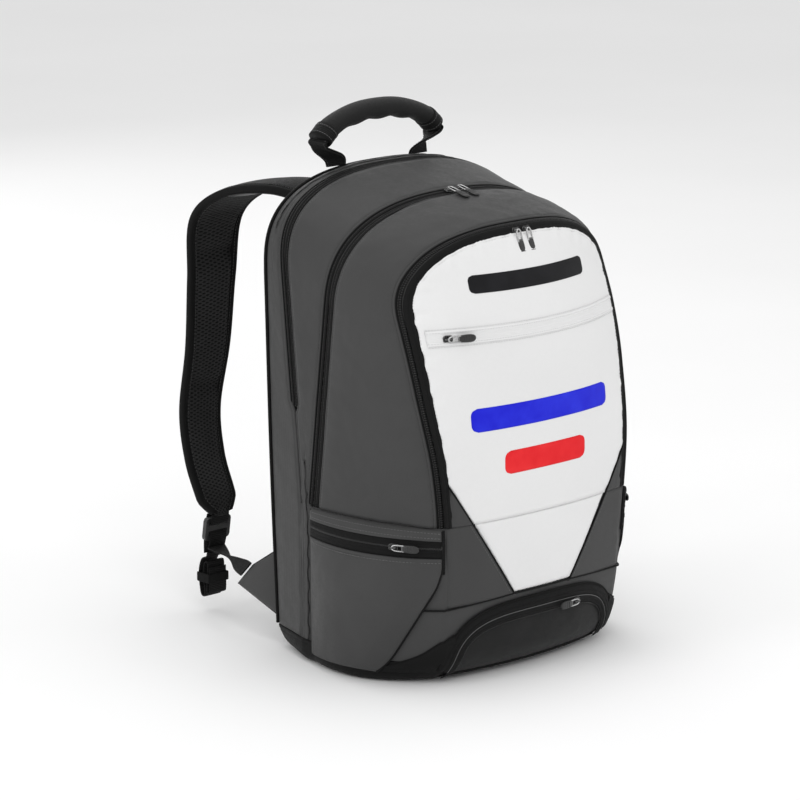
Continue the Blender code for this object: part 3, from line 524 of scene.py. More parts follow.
def webbing(name, line, across, half_width, half_thick, count):
    """Flat webbing along a line. Across is one direction, or one for each point."""
    across = np.broadcast_to(across, line.shape)
    section = ring(half_width, half_thick, count, flat=0.45)
    return sweep(name, line, across, square_to(line, across), section, WEBBING)


class Rows:
    """Small repeated bits, such as stitches, gathered into one mesh for each body and material."""

    def __init__(self):
        self.made = {}

    def add(self, body, material, slot, centres, along, up, size):
        """One bit at each centre: size is (half length, half width, half height)."""
        key = (body, material.name)
        entry = self.made.setdefault(key, {"material": material, "slot": slot, "parts": []})
        centres, along, up = (np.asarray(a, float) for a in (centres, along, up))
        along = unit(along)
        side = unit(np.cross(up, along))
        up = unit(np.cross(along, side))
        entry["parts"].append((centres, along * size[0], side * size[1], up * size[2]))

    def build(self, stem):
        rings = ((-1.0, 0.35), (-0.72, 0.9), (0.0, 1.0), (0.72, 0.9), (1.0, 0.35))
        sides = 6
        template = np.array([(at, share * c, share * s) for at, share in rings for c, s in circle(sides)])
        faces = [f[::-1] for f in quads(len(rings), sides, True) + ends_of(len(rings), sides)]
        for (body, kind), entry in self.made.items():
            points = []
            for centres, along, side, up in entry["parts"]:
                points.append(
                    centres[:, None]
                    + along[:, None] * template[None, :, :1]
                    + side[:, None] * template[None, :, 1:2]
                    + up[:, None] * template[None, :, 2:]
                )
            points = np.concatenate(points)
            count = len(points)
            every = [tuple(i + n * len(template) for i in f) for n in range(count) for f in faces]
            name = f"{stem}_{body}_{kind}"
            place(as_object(name, mesh_of(name, points, every), entry["material"]), body, entry["slot"])


STITCHES, TEETH = Rows(), Rows()
# A stitch's half length, as a share of the pitch, half width and half height
STITCH_SHARE, STITCH_WIDE, STITCH_HIGH = 0.36, 0.00038, 0.00034


def stitch(line, up, body, thread, slot, pitch=0.0036):
    """A row of stitches along a line of points on the cloth."""
    line = np.asarray(line, float)
    at = travelled(line)
    count = max(2, int(at[-1] / pitch) + 1)
    holes, steps = resampled(line, count), np.linspace(0, at[-1], count)
    up = np.broadcast_to(np.asarray(up, float), line.shape)
    ups = unit(np.stack([np.interp(steps, at, up[:, k]) for k in range(3)], axis=1))
    size = (pitch * STITCH_SHARE, STITCH_WIDE, STITCH_HIGH)
    STITCHES.add(body, thread, slot, (holes[1:] + holes[:-1]) / 2, holes[1:] - holes[:-1], ups[1:], size)


def rumple(points, size, pitch, seed):
    """How far each point of a cloth lies in or out: soft waves, about pitch apart."""
    flat = np.asarray(points, float).reshape(-1, 3)
    waves = [noise.noise(Vector(p) / pitch + Vector((seed, seed * 0.7, -seed))) for p in flat]
    return size * np.array(waves).reshape(np.asarray(points).shape[:-1])


def skin_panel(name, skin, start, end, edges, body, replaced, rows, seed, pucker=0.0008):
    """Cloth between two edges of the skin, start in from its back hoop and end in from its front one."""
    shares, lifts = [], []
    for distance, lift in edges[0]:
        shares.append(skin.in_from_back(start + distance))
        lifts.append(lift)
    last = skin.in_from_front(end + edges[1][-1][0])
    for j in range(1, rows):
        shares.append(shares[len(edges[0]) - 1] * (1 - j / rows) + last * j / rows)
        lifts.append(edges[0][-1][1] + (edges[1][-1][1] - edges[0][-1][1]) * j / rows)
    for distance, lift in reversed(edges[1]):
        shares.append(skin.in_from_front(end + distance))
        lifts.append(lift)
    grid = np.array([skin.row(s, h) for s, h in zip(shares, lifts)])
    depth = np.array(lifts)
    grow = np.clip((depth - 0.0004) / 0.0012, 0, 1)[:, None]
    waves = rumple(grid, pucker, 0.030, seed) + rumple(grid, pucker * 0.4, 0.011, seed + 5)
    at = travelled(grid[len(grid) // 2])
    ripple = np.sin(at * 2 * math.pi / 0.024 + seed) + 0.7 * np.sin(at * 2 * math.pi / 0.0147)
    near = np.array([math.exp(-(((min(r, len(grid) - 1 - r) - 6.5) / 3.0) ** 2)) for r in range(len(grid))])
    waves = waves + 0.00024 * near[:, None] * ripple[None]
    grid = grid + skin.out[None] * (waves * grow)[..., None]
    place(cloth_grid(name, grid, GREY, flip=True), body, "body_fabric", replaced)


# Height of half a zip tape by distance from its slit: a rib over the coil, a row of stitching, then flat
TAPE_PROFILE = (
    (0.0007, -0.0008), (0.0006, 0.0001), (0.0010, 0.0005), (0.0022, 0.0007), (0.0034, 0.0005),
    (0.0042, -0.0001), (0.0050, 0.0001), (0.0078, 0.0000), (0.0120, -0.0017),
)
TOOTH_PITCH, TOOTH_SIZE = 0.0024, (0.0019, 0.00055, 0.0006)
TOOTH_BACK, TOOTH_SUNK = 0.0010, 0.0007  # a tooth's middle lies this far from the slit, and below the tape


def zip_teeth(line, towards, out, body, phase):
    """One side's teeth: they cross the slit a little, and the other side's stand between them."""
    count = int(travelled(line)[-1] / TOOTH_PITCH)
    dense = resampled(np.concatenate([line, towards, out], axis=1), 2 * count)[phase::2]
    along, up = dense[:, 3:6], dense[:, 6:9]
    centres = dense[:, :3] - unit(along) * TOOTH_BACK - unit(up) * TOOTH_SUNK
    TEETH.add(body, COIL, "zip_tape", centres, along, up, TOOTH_SIZE)


def zip_half(name, skin, from_back, body, replaced, phase, start=0, stop=None):
    """Half a zip on the skin's back or front hoop: tape with a rib over the coil, stitching and teeth."""
    edge = skin.in_from_back if from_back else skin.in_from_front
    grid = np.array([skin.row(edge(d), h) for d, h in TAPE_PROFILE])[:, start:stop]
    place(cloth_grid(name, grid, TAPE_CLOTH, thickness=0.0008, flip=from_back), body, "zip_tape", replaced)
    out = skin.out[start:stop]
    stitch(skin.row(edge(0.0042), 0.0001)[start:stop], out, body, THREAD_BLACK, "zip_tape", pitch=0.0030)
    hoop = skin.back if from_back else skin.front
    towards = (skin.back - skin.front if from_back else skin.front - skin.back)[start:stop]
    zip_teeth(hoop[start:stop], towards, out, body, phase)


# ---- cloth simulation ----
CLOTH_FRAMES, CLOTH_STIFFNESS = 20, 20.0


def points_of(obj):
    return np.array([v.co for v in obj.data.vertices])


def set_points(obj, points):
    obj.data.vertices.foreach_set("co", points.astype(np.float32).ravel())
    obj.data.update()


def puffed(obj, pressure, cap):
    """Blows a closed piece up as cloth, moves no point further than cap, and keeps the result as its mesh."""
    rest = points_of(obj)
    cloth = obj.modifiers.new("Cloth", "CLOTH")
    settings = cloth.settings
    settings.quality = 6
    settings.mass = 0.15
    settings.tension_stiffness = settings.compression_stiffness = CLOTH_STIFFNESS
    settings.bending_stiffness = 0.6
    settings.use_pressure = True
    settings.uniform_pressure_force = pressure
    settings.effector_weights.gravity = 0
    cloth.point_cache.frame_start, cloth.point_cache.frame_end = 1, CLOTH_FRAMES
    scene = bpy.context.scene
    for step in range(1, CLOTH_FRAMES + 1):
        scene.frame_set(step)
    graph = bpy.context.evaluated_depsgraph_get()
    moved = np.array([v.co for v in obj.evaluated_get(graph).data.vertices])
    obj.modifiers.remove(cloth)
    scene.frame_set(1)
    shift = moved - rest
    length = np.linalg.norm(shift, axis=1, keepdims=True)
    shift *= np.minimum(1.0, cap / np.maximum(length, 1e-9))
    set_points(obj, rest + shift)


def baked(obj):
    """Makes a piece's modifiers part of its mesh."""
    graph = bpy.context.evaluated_depsgraph_get()
    mesh = bpy.data.meshes.new_from_object(obj.evaluated_get(graph))
    obj.modifiers.clear()
    obj.data = mesh
    mesh.shade_smooth()


def remeshed(obj, voxel):
    """Gives a piece an even mesh, ready to be simulated."""
    step = obj.modifiers.new("Remesh", "REMESH")
    step.mode = "VOXEL"
    step.voxel_size = voxel
    baked(obj)


def smoother(obj):
    step = obj.modifiers.new("Smooth", "SUBSURF")
    step.levels = step.render_levels = 1
    return obj


def mirrored(point, sign):
    """A left-hand point, or its mirror image for sign +1."""
    return Vector((-sign * point[0], point[1], point[2]))


def mirrored_line(points, sign):
    return np.array([tuple(mirrored(p, sign)) for p in points])


def smooth_line(marks, steps):
    """A Catmull-Rom line through marks, which are tuples of numbers of any length."""
    marks = np.asarray(marks, float)
    padded_marks = np.concatenate([[2 * marks[0] - marks[1]], marks, [2 * marks[-1] - marks[-2]]])
    line = []
    for i in range(len(marks) - 1):
        p0, p1, p2, p3 = padded_marks[i : i + 4]
        for k in range(steps):
            t = k / steps
            bend, twist = 2 * p0 - 5 * p1 + 4 * p2 - p3, 3 * p1 - p0 - 3 * p2 + p3
            line.append(0.5 * (2 * p1 + (p2 - p0) * t + bend * t**2 + twist * t**3))
    return np.array(line + [marks[-1]])


def seam_cord(name, line, body, material=BLACK, radius=0.0011, up_hint=(0, 0, 1), slot="black_fabric"):
    """A sewn-in piping cord; some black ones paint the shade along seams, hems and the pocket's edge."""
    place(tube(name, line, radius, material, up_hint=up_hint), body, slot)


# ---- lower shell ----
SIDE_BULGE = ((0, 0.026), (0.05, 0.021), (0.165, 0.010))
SIDE_COUNT, POCKET_COUNT = 30, 52  # points along the plan of a side wall, and of a pocket's wall


def left_foot(hoop, z):
    """Where a hoop's left side passes height z."""
    half = graded(hoop["half"], z)
    return Vector((-half, hoop_y(hoop, half, z), z))


def outward(along):
    """The level direction out of the bag from a line that runs forward on its left side."""
    return Vector((along.y, -along.x, 0)).normalized()


def side_line(z):
    """Plan of the left wall at height z, from the back zip to the flap zip."""
    bulge = graded(SIDE_BULGE, z)
    marks = [left_foot(hoop, z) for hoop in (BACK_ZIP, MAIN_ZIP, FLAP_ZIP)]
    out = outward(marks[2] - marks[1])
    line = [marks[0].lerp(marks[1], k / 6) for k in range(6)]
    for i in range(SIDE_COUNT):
        t = i / (SIDE_COUNT - 1)
        line.append(marks[1].lerp(marks[2], t) + out * 4 * bulge * t * (1 - t))
    return line


def rear_corner(z):
    """Radius of the lower shell's rear corners: round at the base, and soon almost square above it."""
    share = max(0.0, min(1.0, z / BASE_SKIN_Z))
    return 0.024 - 0.019 * share * share * (3 - 2 * share)


def plan_loop(z, lift=0.0):
    """Plan of the lower shell at height z, moved outwards by lift, starting at the back's middle."""
    half = graded(BACK_EDGE["half"], z)
    corner = rear_corner(z)
    left = [Vector((-x, BACK_Y, z)) for x in np.linspace(0, half - corner - 0.0005, 10)]
    for i in range(7):
        angle = math.radians(90 + 11 * i)
        x, y = corner * math.cos(angle), corner * math.sin(angle)
        left.append(Vector((corner - half + x, BACK_Y - corner + y, z)))
    left += side_line(z)
    edge = graded(FLAP_ZIP["half"], z)
    left += [Vector((-x, front_y(x, z), z)) for x in edge * np.linspace(0.965, 0, 22)]
    loop = left + [Vector((-p.x, p.y, p.z)) for p in reversed(left[1:-1])]
    moved = []
    for i, point in enumerate(loop):
        out = outward(loop[(i + 1) % len(loop)] - loop[i - 1])
        moved.append(point + out * (lift - undercut(z, SIDE_RADIUS) * (1 - max(0.0, -out.y))))
    return np.array([tuple(p) for p in moved])


def shoe_arch(steps=72):
    """The shoe door's upper edge, from left to right, as (x, z) pairs."""
    pairs = []
    for i in range(steps + 1):
        u = 2 * i / steps - 1
        rise = max(1 - abs(u) ** 3.2, 0.12)
        pairs.append((SHOE_HALF * math.sin(u * math.pi / 2), SHOE_LOW_Z + (SHOE_TOP_Z - SHOE_LOW_Z) * rise))
    return pairs


def grown(pairs, distance):
    """A line of (x, z) pairs moved outwards, square to itself."""
    flat = np.asarray(pairs, float)
    along = unit(np.gradient(flat, axis=0))
    return flat + np.stack([-along[:, 1], along[:, 0]], axis=1) * distance


def cut_shoe_opening(obj):
    """Cuts the shoe compartment's mouth through a thickened cloth."""
    arch = [tuple(p) for p in grown(shoe_arch(36), 0.0015)]
    edge = [(arch[0][0], SHOE_LOW_Z - 0.003)] + arch + [(arch[-1][0], SHOE_LOW_Z - 0.003)]
    count = len(edge)
    points = [(x, y, z) for y in (-0.20, -0.095) for x, z in edge]
    faces = quads(2, count, True) + ends_of(2, count)
    mesh = mesh_of("opening", points, faces)
    face_outwards(mesh)
    cutter = bpy.data.objects.new("opening", mesh)
    bpy.context.scene.collection.objects.link(cutter)
    hole = obj.modifiers.new("Opening", "BOOLEAN")
    hole.operation, hole.solver, hole.object = "DIFFERENCE", "EXACT", cutter
    baked(obj)
    bpy.data.objects.remove(cutter)
    return obj


def wall_rumple(grid, size, seed):
    """The grid with soft dents, square to the wall in plan."""
    along = np.roll(grid, -1, axis=1) - np.roll(grid, 1, axis=1)
    out = unit(np.stack([along[..., 1], -along[..., 0], 0 * along[..., 0]], axis=2))
    grow = np.clip((grid[..., 2] - 0.03) / 0.03, 0, 1) * np.clip((RIM_Z - grid[..., 2]) / 0.02, 0, 1)
    dents = rumple(grid, size, 0.045, seed) + rumple(grid, size * 0.35, 0.014, seed + 3)
    return grid + out * ((dents - size * 0.5) * grow)[..., None]


SHELL_FOOT_LEVELS = (0.0008, 0.0015, 0.003, 0.005, 0.008, 0.012, 0.017, 0.023, 0.029, 0.034)
BASE_SKIN = (  # height, lift
    (0.0006, 0.0012), (0.002, 0.0018), (0.004, 0.0021), (0.007, 0.0022), (0.011, 0.0022), (0.015, 0.0022),
    (0.0185, 0.0024), (0.0205, 0.0018), (0.0215, 0.0024), (0.0240, 0.0025), (0.0248, 0.0018), (0.0250, 0.0004),
)


def build_shell():
    """The grey wall below the rim, and the black cloth under it that wraps up its foot."""
    levels = list(SHELL_FOOT_LEVELS) + list(np.linspace(0.041, RIM_Z, 20))
    grid = wall_rumple(np.array([plan_loop(z, 0.0010) for z in levels]), 0.0012, 2.0)
    wall = cloth_grid("shell_wall", grid, GREY, thickness=0.0016, wrap=True)
    place(cut_shoe_opening(wall), "bag", "body_fabric", ["lower_shell"])
    sole = plan_loop(0.0, 0.0)
    # Black cloth under the bag and up the foot of the wall.
    rows = [sole * (share, share, 0) + (0, 0.004 * (1 - share), 0.0002) for share in np.linspace(0.03, 1, 12)]
    rows += [plan_loop(z, lift) for z, lift in BASE_SKIN]
    base = cloth_grid("base_skin", rows, BLACK_FOOT, thickness=0.0009, wrap=True)
    place(cut_shoe_opening(base), "bag", "black_fabric")


def build_corner_seams():
    """The upright seams, left and right, where the lower front meets the sides."""
    lift = 0.0010
    for side, sign in SIDES:
        line = []
        for z in np.linspace(0.121, RIM_Z - 0.001, 26):
            half = graded(FLAP_ZIP["half"], z)
            line.append((sign * (half + lift - undercut(z, SIDE_RADIUS)), front_y(half, z) - lift * 0.6, z))
        seam_cord(f"flap_corner_seam_{side}", line, "bag", radius=0.0014, up_hint=(sign, 0, 0))


# ---- front: white panel, grey corners, flap ----
def hoop_outline(hoop, low, inset):
    """(x, z) pairs along a hoop, drawn in by inset."""
    return hoop_points(hoop, low, inset)[:, [0, 2]]


def front_patch(hoop, inset, low, rows, columns, clip=None):
    """(x, z) pairs inside a hoop: straight rows up to the arch, then a square bent into its round top."""
    spring = hoop["top"] - hoop["arch"]
    rise, power = hoop["arch"] - inset, hoop["power"]
    lower = rows // 2
    grid = []
    for r in range(lower):
        z = low + (spring - low) * r / lower
        half = graded(hoop["half"], z) - inset
        if clip:
            half = min(half, clip(z))
        grid.append([(half * (2 * c / columns - 1), z) for c in range(columns + 1)])
    half = graded(hoop["half"], spring) - inset
    for r in range(rows - lower + 1):
        v = r / (rows - lower)
        row = []
        for c in range(columns + 1):
            u = 2 * c / columns - 1
            x, y = u * math.sqrt(1 - v * v / 2), v * math.sqrt(1 - u * u / 2)
            radius, angle = math.hypot(x, y), math.atan2(y, x)
            out, high = powered(math.cos(angle), 2 / power), max(math.sin(angle), 0.0) ** (2 / power)
            row.append((half * radius * out, spring + rise * radius * high))
        grid.append(row)
    return np.array(grid)


def edge_distance(pairs, border):
    """How far each (x, z) pair is from a border line, and how far along the border the nearest place is."""
    line = resampled(border, 900)
    at = travelled(line)
    flat = pairs.reshape(-1, 2)
    apart = np.linalg.norm(flat[:, None] - line[None], axis=2)
    nearest = apart.argmin(axis=1)
    shape = pairs.shape[:2]
    return apart[np.arange(len(flat)), nearest].reshape(shape), at[nearest].reshape(shape)


def diagonal(z):
    """Half width of the white front between its slanting sides."""
    top = graded(FLAP_ZIP["half"], WHITE_HIGH_Z) - TAPE + 0.004
    return WHITE_LOW_HALF + (top - WHITE_LOW_HALF) * (z - WHITE_LOW_Z) / (WHITE_HIGH_Z - WHITE_LOW_Z)


FRONT_WANDER = 0.0004
FACING = (0, -1, 0)  # out of the bag's front


def front_cloth(name, pairs, border, base, material, puff=0.0, pucker=0.0, thickness=0.0012):
    """Cloth on the domed front, with a sewn edge along the border. Puckers fade away from it."""
    distance, along = edge_distance(pairs, border)
    lift = base + np.interp(distance, *zip(*HEM))
    lift += puff * np.clip(distance / 0.05, 0, 1) ** 0.6
    wave = np.sin(along * 2 * math.pi / 0.021) + 0.6 * np.sin(along * 2 * math.pi / 0.0135 + 1.0)
    lift += pucker * wave * np.exp(-(((distance - 0.007) / 0.007) ** 2))
    points = np.array([[tuple(on_front(x, z, h)) for (x, z), h in zip(r, hs)] for r, hs in zip(pairs, lift)])
    points[..., 1] += rumple(points, FRONT_WANDER, 0.05, 3.0) * np.clip(distance / 0.02, 0, 1)
    return cloth_grid(name, points, material, thickness=thickness)


def between(left, right, low, high, rows, columns):
    """(x, z) pairs over a strip between two edges, each a function of height."""
    grid = []
    for z in np.linspace(low, high, rows):
        grid.append([(left(z) + (right(z) - left(z)) * c / (columns - 1), z) for c in range(columns)])
    return np.array(grid)


def on_side(sign, inner, outer):
    """The left and right edges of a strip whose half widths are inner and outer, on the side of sign."""
    return (inner, outer) if sign > 0 else ((lambda z: -outer(z)), (lambda z: -inner(z)))


def front_line(pairs, lift):
    return np.array([tuple(on_front(x, z, lift)) for x, z in pairs])


def front_piping_and_shade(name, pairs, lift, body="bag", radius=0.0010, material=BLACK, slot="black_fabric"):
    """A cord along (x, z) pairs on the domed front: piping, and black cords that paint shade along seams and
    the shoe zip.
    """
    seam_cord(name, front_line(pairs, lift), body, material, radius, FACING, slot)


def front_stitch(pairs, lift, body, thread, slot):
    stitch(front_line(pairs, lift), FACING, body, thread, slot)


def front_corner(z):
    """Half width of the front, at its seam with the side."""
    return graded(FLAP_ZIP["half"], z) - 0.0012


def build_lower_front():
    """The white triangle below the flap, between its piped seams, and the grey corners beside it; the black
    cord along its lower seam paints the seam's shadow.
    """
    high = RIM_Z - 0.0001
    pairs = between(lambda z: -diagonal(z), diagonal, WHITE_LOW_Z, high, 34, 50)
    border = [(-diagonal(z), z) for z in np.linspace(high, WHITE_LOW_Z, 20)]
    border += [(diagonal(z), z) for z in np.linspace(WHITE_LOW_Z, high, 20)]
    made = front_cloth("lower_front_white", pairs, border, 0.0010, WHITE, puff=0.0009, pucker=0.0001)
    place(made, "bag", "white_panel", ["lower_front_panel"])
    for side, sign in SIDES:
        sides = [(sign * (diagonal(z) + 0.0005), z) for z in np.linspace(WHITE_LOW_Z, high, 30)]
        front_piping_and_shade("lower_diagonal_piping_" + side, sides, 0.0022)
        inner = [(sign * (diagonal(z) + 0.0045), z) for z in np.linspace(WHITE_LOW_Z, high, 30)]
        front_stitch(inner, 0.0023, "bag", THREAD_GREY, "body_fabric")
    for side, sign in SIDES:
        inner, outer = on_side(sign, diagonal, front_corner)
        line = [(sign * front_corner(z), z) for z in np.linspace(0.084, high, 20)]
        patch = between(inner, outer, 0.0845, high, 26, 22)
        piece = front_cloth("front_corner_" + side, patch, line, 0.0006, GREY, pucker=0.0001, thickness=0.0008)
        place(piece, "bag", "body_fabric")
    # Painted shadow: the black cord along the seam under the white front stands for the shadow in the seam's
    # groove.
    reach = front_corner(WHITE_LOW_Z)
    across = np.linspace(-reach, reach, 80)
    foot = [(x, WHITE_LOW_Z - 0.0005 - 0.05 * max(abs(x) - WHITE_LOW_HALF, 0)) for x in across]
    front_piping_and_shade("lower_front_piping", foot, 0.0020)


def flap_edge(z):
    """Half width of the flap's cloth at height z."""
    return graded(FLAP_ZIP["half"], z) - ZIP_ROOM


def build_flap():
    """The flap's white cloth with its stitched edge, and the grey corners that hang beside its lower part."""
    low = RIM_Z + 0.0003
    pairs = front_patch(FLAP_ZIP, ZIP_ROOM, low, 96, 92, clip=diagonal)
    arch = hoop_outline(FLAP_ZIP, WHITE_HIGH_Z, ZIP_ROOM)
    sides = [(diagonal(z), z) for z in np.linspace(WHITE_HIGH_Z, low, 12)]
    border = np.array([(-x, z) for x, z in reversed(sides)] + [tuple(p) for p in arch] + sides)
    made = front_cloth("flap_white", pairs, border, 0.0010, WHITE, 0.0009, 0.00045, thickness=0.0024)
    place(made, "front_flap", "white_panel", ["front_flap"])
    stitch_line = hoop_outline(FLAP_ZIP, WHITE_HIGH_Z, ZIP_ROOM + STITCH_IN)
    front_stitch(stitch_line, 0.0019, "front_flap", THREAD_WHITE, "white_panel")
    for side, sign in SIDES:
        inner, outer = on_side(sign, diagonal, flap_edge)
        corner = between(inner, outer, low, WHITE_HIGH_Z, 20, 14)
        line = [(sign * flap_edge(z), z) for z in np.linspace(low, WHITE_HIGH_Z, 20)]
        piece = front_cloth(f"flap_corner_{side}", corner, line, 0.0006, GREY, pucker=0.0001, thickness=0.002)
        place(piece, "front_flap", "body_fabric")
        sides = [(sign * (diagonal(z) + 0.0005), z) for z in np.linspace(low, WHITE_HIGH_Z - 0.004, 20)]
        front_piping_and_shade("flap_diagonal_piping_" + side, sides, 0.0022, "front_flap")
    return made


def print_bar(name, cloth, cz, size, material):
    """A thin printed bar with rounded ends, lying on the flap's cloth at height cz."""
    points = [tuple(v.co) for v in cloth.data.vertices]
    tree = BVHTree.FromPolygons(points, [tuple(p.vertices) for p in cloth.data.polygons])
    width, height = size
    radius = height * 0.32
    grid = []
    for v in np.linspace(-0.5, 0.5, 13):
        dz = v * height
        over = max(abs(dz) - (height / 2 - radius), 0.0)
        half = width / 2 - radius + math.sqrt(max(radius**2 - over**2, 0.0))
        row = []
        for u in np.linspace(-1, 1, 70):
            x, z = half * u, cz + dz
            hit = tree.ray_cast(Vector((x, -0.3, z)), Vector((0, 1, 0)))[0]
            row.append((x, hit.y - 0.00025, z))
        grid.append(row)
    place(cloth_grid(name, grid, material, thickness=0.0004), "front_flap", "white_panel")


def strip_on_front(name, lines, lifts, material, body, slot, replaced=(), thickness=0.0008, flip=False):
    """A narrow strip on the domed front, given as lines of (x, z) pairs with a height for each."""
    grid = [front_line(line, lift) for line, lift in zip(lines, lifts)]
    place(cloth_grid(name, grid, material, thickness=thickness, flip=flip), body, slot, replaced)


def build_flap_zip():
    """The flap's own half of its zip, and the white pocket zip across its face."""
    low = RIM_Z + 0.0012
    lines = [hoop_outline(FLAP_ZIP, low, d + 0.0004) for d, _ in TAPE_PROFILE]
    lifts = [h + 0.0012 for _, h in TAPE_PROFILE]
    replaced = ["flap_zip_front_tape"]
    strip_on_front("flap_zip_tape_front", lines, lifts, TAPE_CLOTH, "front_flap", "zip_tape", replaced)
    middle = hoop_points(FLAP_ZIP, low, 0.0)
    inner = hoop_points(FLAP_ZIP, low, 0.006)
    zip_teeth(middle, inner - middle, np.broadcast_to((0, -1, 0.2), middle.shape), "front_flap", 1)
    half = (
        (0.0003, 0.0024), (0.0016, 0.0031), (0.0030, 0.0024), (0.0038, 0.0026), (0.0046, 0.0034),
        (0.0062, 0.0036), (0.0074, 0.0030), (0.0078, 0.0016),
    )
    section = [(-d, h) for d, h in reversed(half)] + list(half)
    across = np.linspace(-FLAP_POCKET_HALF, FLAP_POCKET_HALF, 96)
    lines = [[(x, FLAP_POCKET_Z + dz) for x in across] for dz, _ in section]
    lifts = [h + 0.0012 for _, h in section]
    strip_on_front("flap_pocket_zip", lines, lifts, WHITE, "front_flap", "white_panel", ["pocket_zip_tape"])
    for dz in (-0.0085, -0.0052, 0.0052, 0.0085):
        row = front_line([(x, FLAP_POCKET_Z + dz) for x in across], 0.0047 if abs(dz) < 0.006 else 0.0044)
        stitch(row, FACING, "front_flap", THREAD_WHITE, "white_panel", pitch=0.0032)


SHOE_ZIP_LIFT = 0.0036


def build_shoe_door():
    """The black door of the shoe compartment, with its half of the zip, and the other half on the shell."""
    arch = shoe_arch()
    grid = []
    for v in np.linspace(0, 1, 26):
        row = []
        for x, top in arch:
            dome = 0.0045 * math.sin(math.pi * min(v, 1)) * (1 - (x / SHOE_HALF) ** 4)
            row.append(tuple(on_front(x, SHOE_LOW_Z + (top - SHOE_LOW_Z) * v * 0.985, 0.0005 + dome)))
        grid.append(row)
    grid = np.array(grid)
    grid[..., 1] -= rumple(grid, 0.0009, 0.03, 8.0) + rumple(grid, 0.0004, 0.012, 9.0)
    panel = cloth_grid("shoe_door_panel", grid, GRIP, thickness=0.0018)
    place(panel, "shoe_door", "black_fabric", ["shoe_door"])
    front_stitch(grown(arch, -0.0090), 0.0040, "shoe_door", THREAD_BLACK, "black_fabric")
    lifts = [h + SHOE_ZIP_LIFT for _, h in TAPE_PROFILE]
    lines = [grown(arch, -d - 0.0002) for d, _ in TAPE_PROFILE[:-1]]
    strip_on_front("shoe_zip_tape_door", lines, lifts, TAPE_CLOTH, "shoe_door", "zip_tape")
    lines = [grown(arch, d + 0.0002) for d, _ in TAPE_PROFILE]
    shell = ("bag", "zip_tape", ["shoe_zip_tape"])
    strip_on_front("shoe_zip_tape_shell", lines, lifts, TAPE_CLOTH, *shell, flip=True)
    middle, outer = front_line(arch, SHOE_ZIP_LIFT), front_line(grown(arch, 0.006), SHOE_ZIP_LIFT)
    out = np.broadcast_to(FACING, middle.shape)
    clear = slice(6, -6)  # the shell's teeth stop short, where the door's ends swing out
    zip_teeth(middle[clear], (outer - middle)[clear], out[clear], "bag", 0)
    zip_teeth(middle, middle - outer, out, "shoe_door", 1)
    # Painted shade: a black cord round the zip's outer edge stands for the shade line between the grey cloth
    # and the zip band.
    seam = grown(arch, 0.0118)
    keep = (seam[:, 1] > 0.022) & (np.abs(seam[:, 0]) < 0.1165)
    front_piping_and_shade("shoe_surround", seam[keep], 0.0026, radius=0.0012, material=BINDING)
    front_piping_and_shade("shoe_coil_line", grown(arch, -0.0006), 0.0044, "shoe_door", 0.0005, THREAD_GREY, "zip_tape")
    binding = [(x, SHOE_LOW_Z + 0.0008) for x in np.linspace(-SHOE_HALF + 0.002, SHOE_HALF - 0.002, 50)]
    front_piping_and_shade("shoe_door_hinge_binding", binding, 0.0014, "shoe_door", 0.0013)


# The band's upper edge as (run, height), and its section as (share of the way down, lift)
SHOE_SIDE = ((-0.0125, 0.0535), (0.0, 0.0470), (0.018, 0.0330), (0.036, 0.0240), (0.050, 0.0190))
SHOE_SIDE_BAND = (
    (0.0, 0.0006), (0.02, 0.0022), (0.07, 0.0034), (0.18, 0.0038), (0.36, 0.0034), (0.64, 0.0032),
    (1.0, 0.0028),
)


def round_corner(run, z, lift, sign):
    """A point on the bag's lower skin, a distance run back from the front corner (before it if negative)."""
    if run >= 0:
        return tuple(mirrored(side_point(z, run, lift), sign))
    return tuple(mirrored(on_front(-(graded(FLAP_ZIP["half"], z) + run), z, lift), sign))


def build_shoe_sides():
    """The black band that carries the shoe zip on round the bag's front corners, and the seam above it; black
    cords along the band's top and on the seam paint their shade.
    """
    for side, sign in SIDES:
        runs = np.linspace(SHOE_SIDE[0][0], SHOE_SIDE[-1][0], 44)
        tops = [graded(SHOE_SIDE, run) for run in runs]
        feet = [0.013 + 1.6 * max(-run, 0.0) for run in runs]
        grid = []
        for share, lift in SHOE_SIDE_BAND:
            heights = [top - share * (top - foot) for top, foot in zip(tops, feet)]
            grid.append([round_corner(run, z, lift, sign) for run, z in zip(runs, heights)])
        band = cloth_grid("shoe_side_band_" + side, grid, BLACK, thickness=0.0008, flip=sign < 0)
        place(band, "bag", "black_fabric")
        # Painted shade: a black cord along the band's top stands for the shade line between the grey cloth and
        # the band.
        rim = [round_corner(run, top + 0.0004, 0.0020, sign) for run, top in zip(runs, tops)]
        seam_cord("shoe_side_piping_" + side, rim, "bag", BINDING, 0.0010, (-1, 0, 0))
        # Painted shadow: a black cord on the seam above the band stands for the seam's shadow.
        runs = np.linspace(-0.004, pocket_run(0.081), 14)
        seam = [round_corner(run, 0.0822 - 0.06 * run, 0.0022, sign) for run in runs]
        seam_cord("shoe_side_seam_" + side, seam, "bag", radius=0.0010, up_hint=(-1, 0, 0))


# ---- gussets and their zips ----
def above(skin, z):
    """The first and last columns of a skin that stand above height z, as a range."""
    kept = np.flatnonzero(skin.back[:, 2] > z)
    return kept[0], kept[-1] + 1


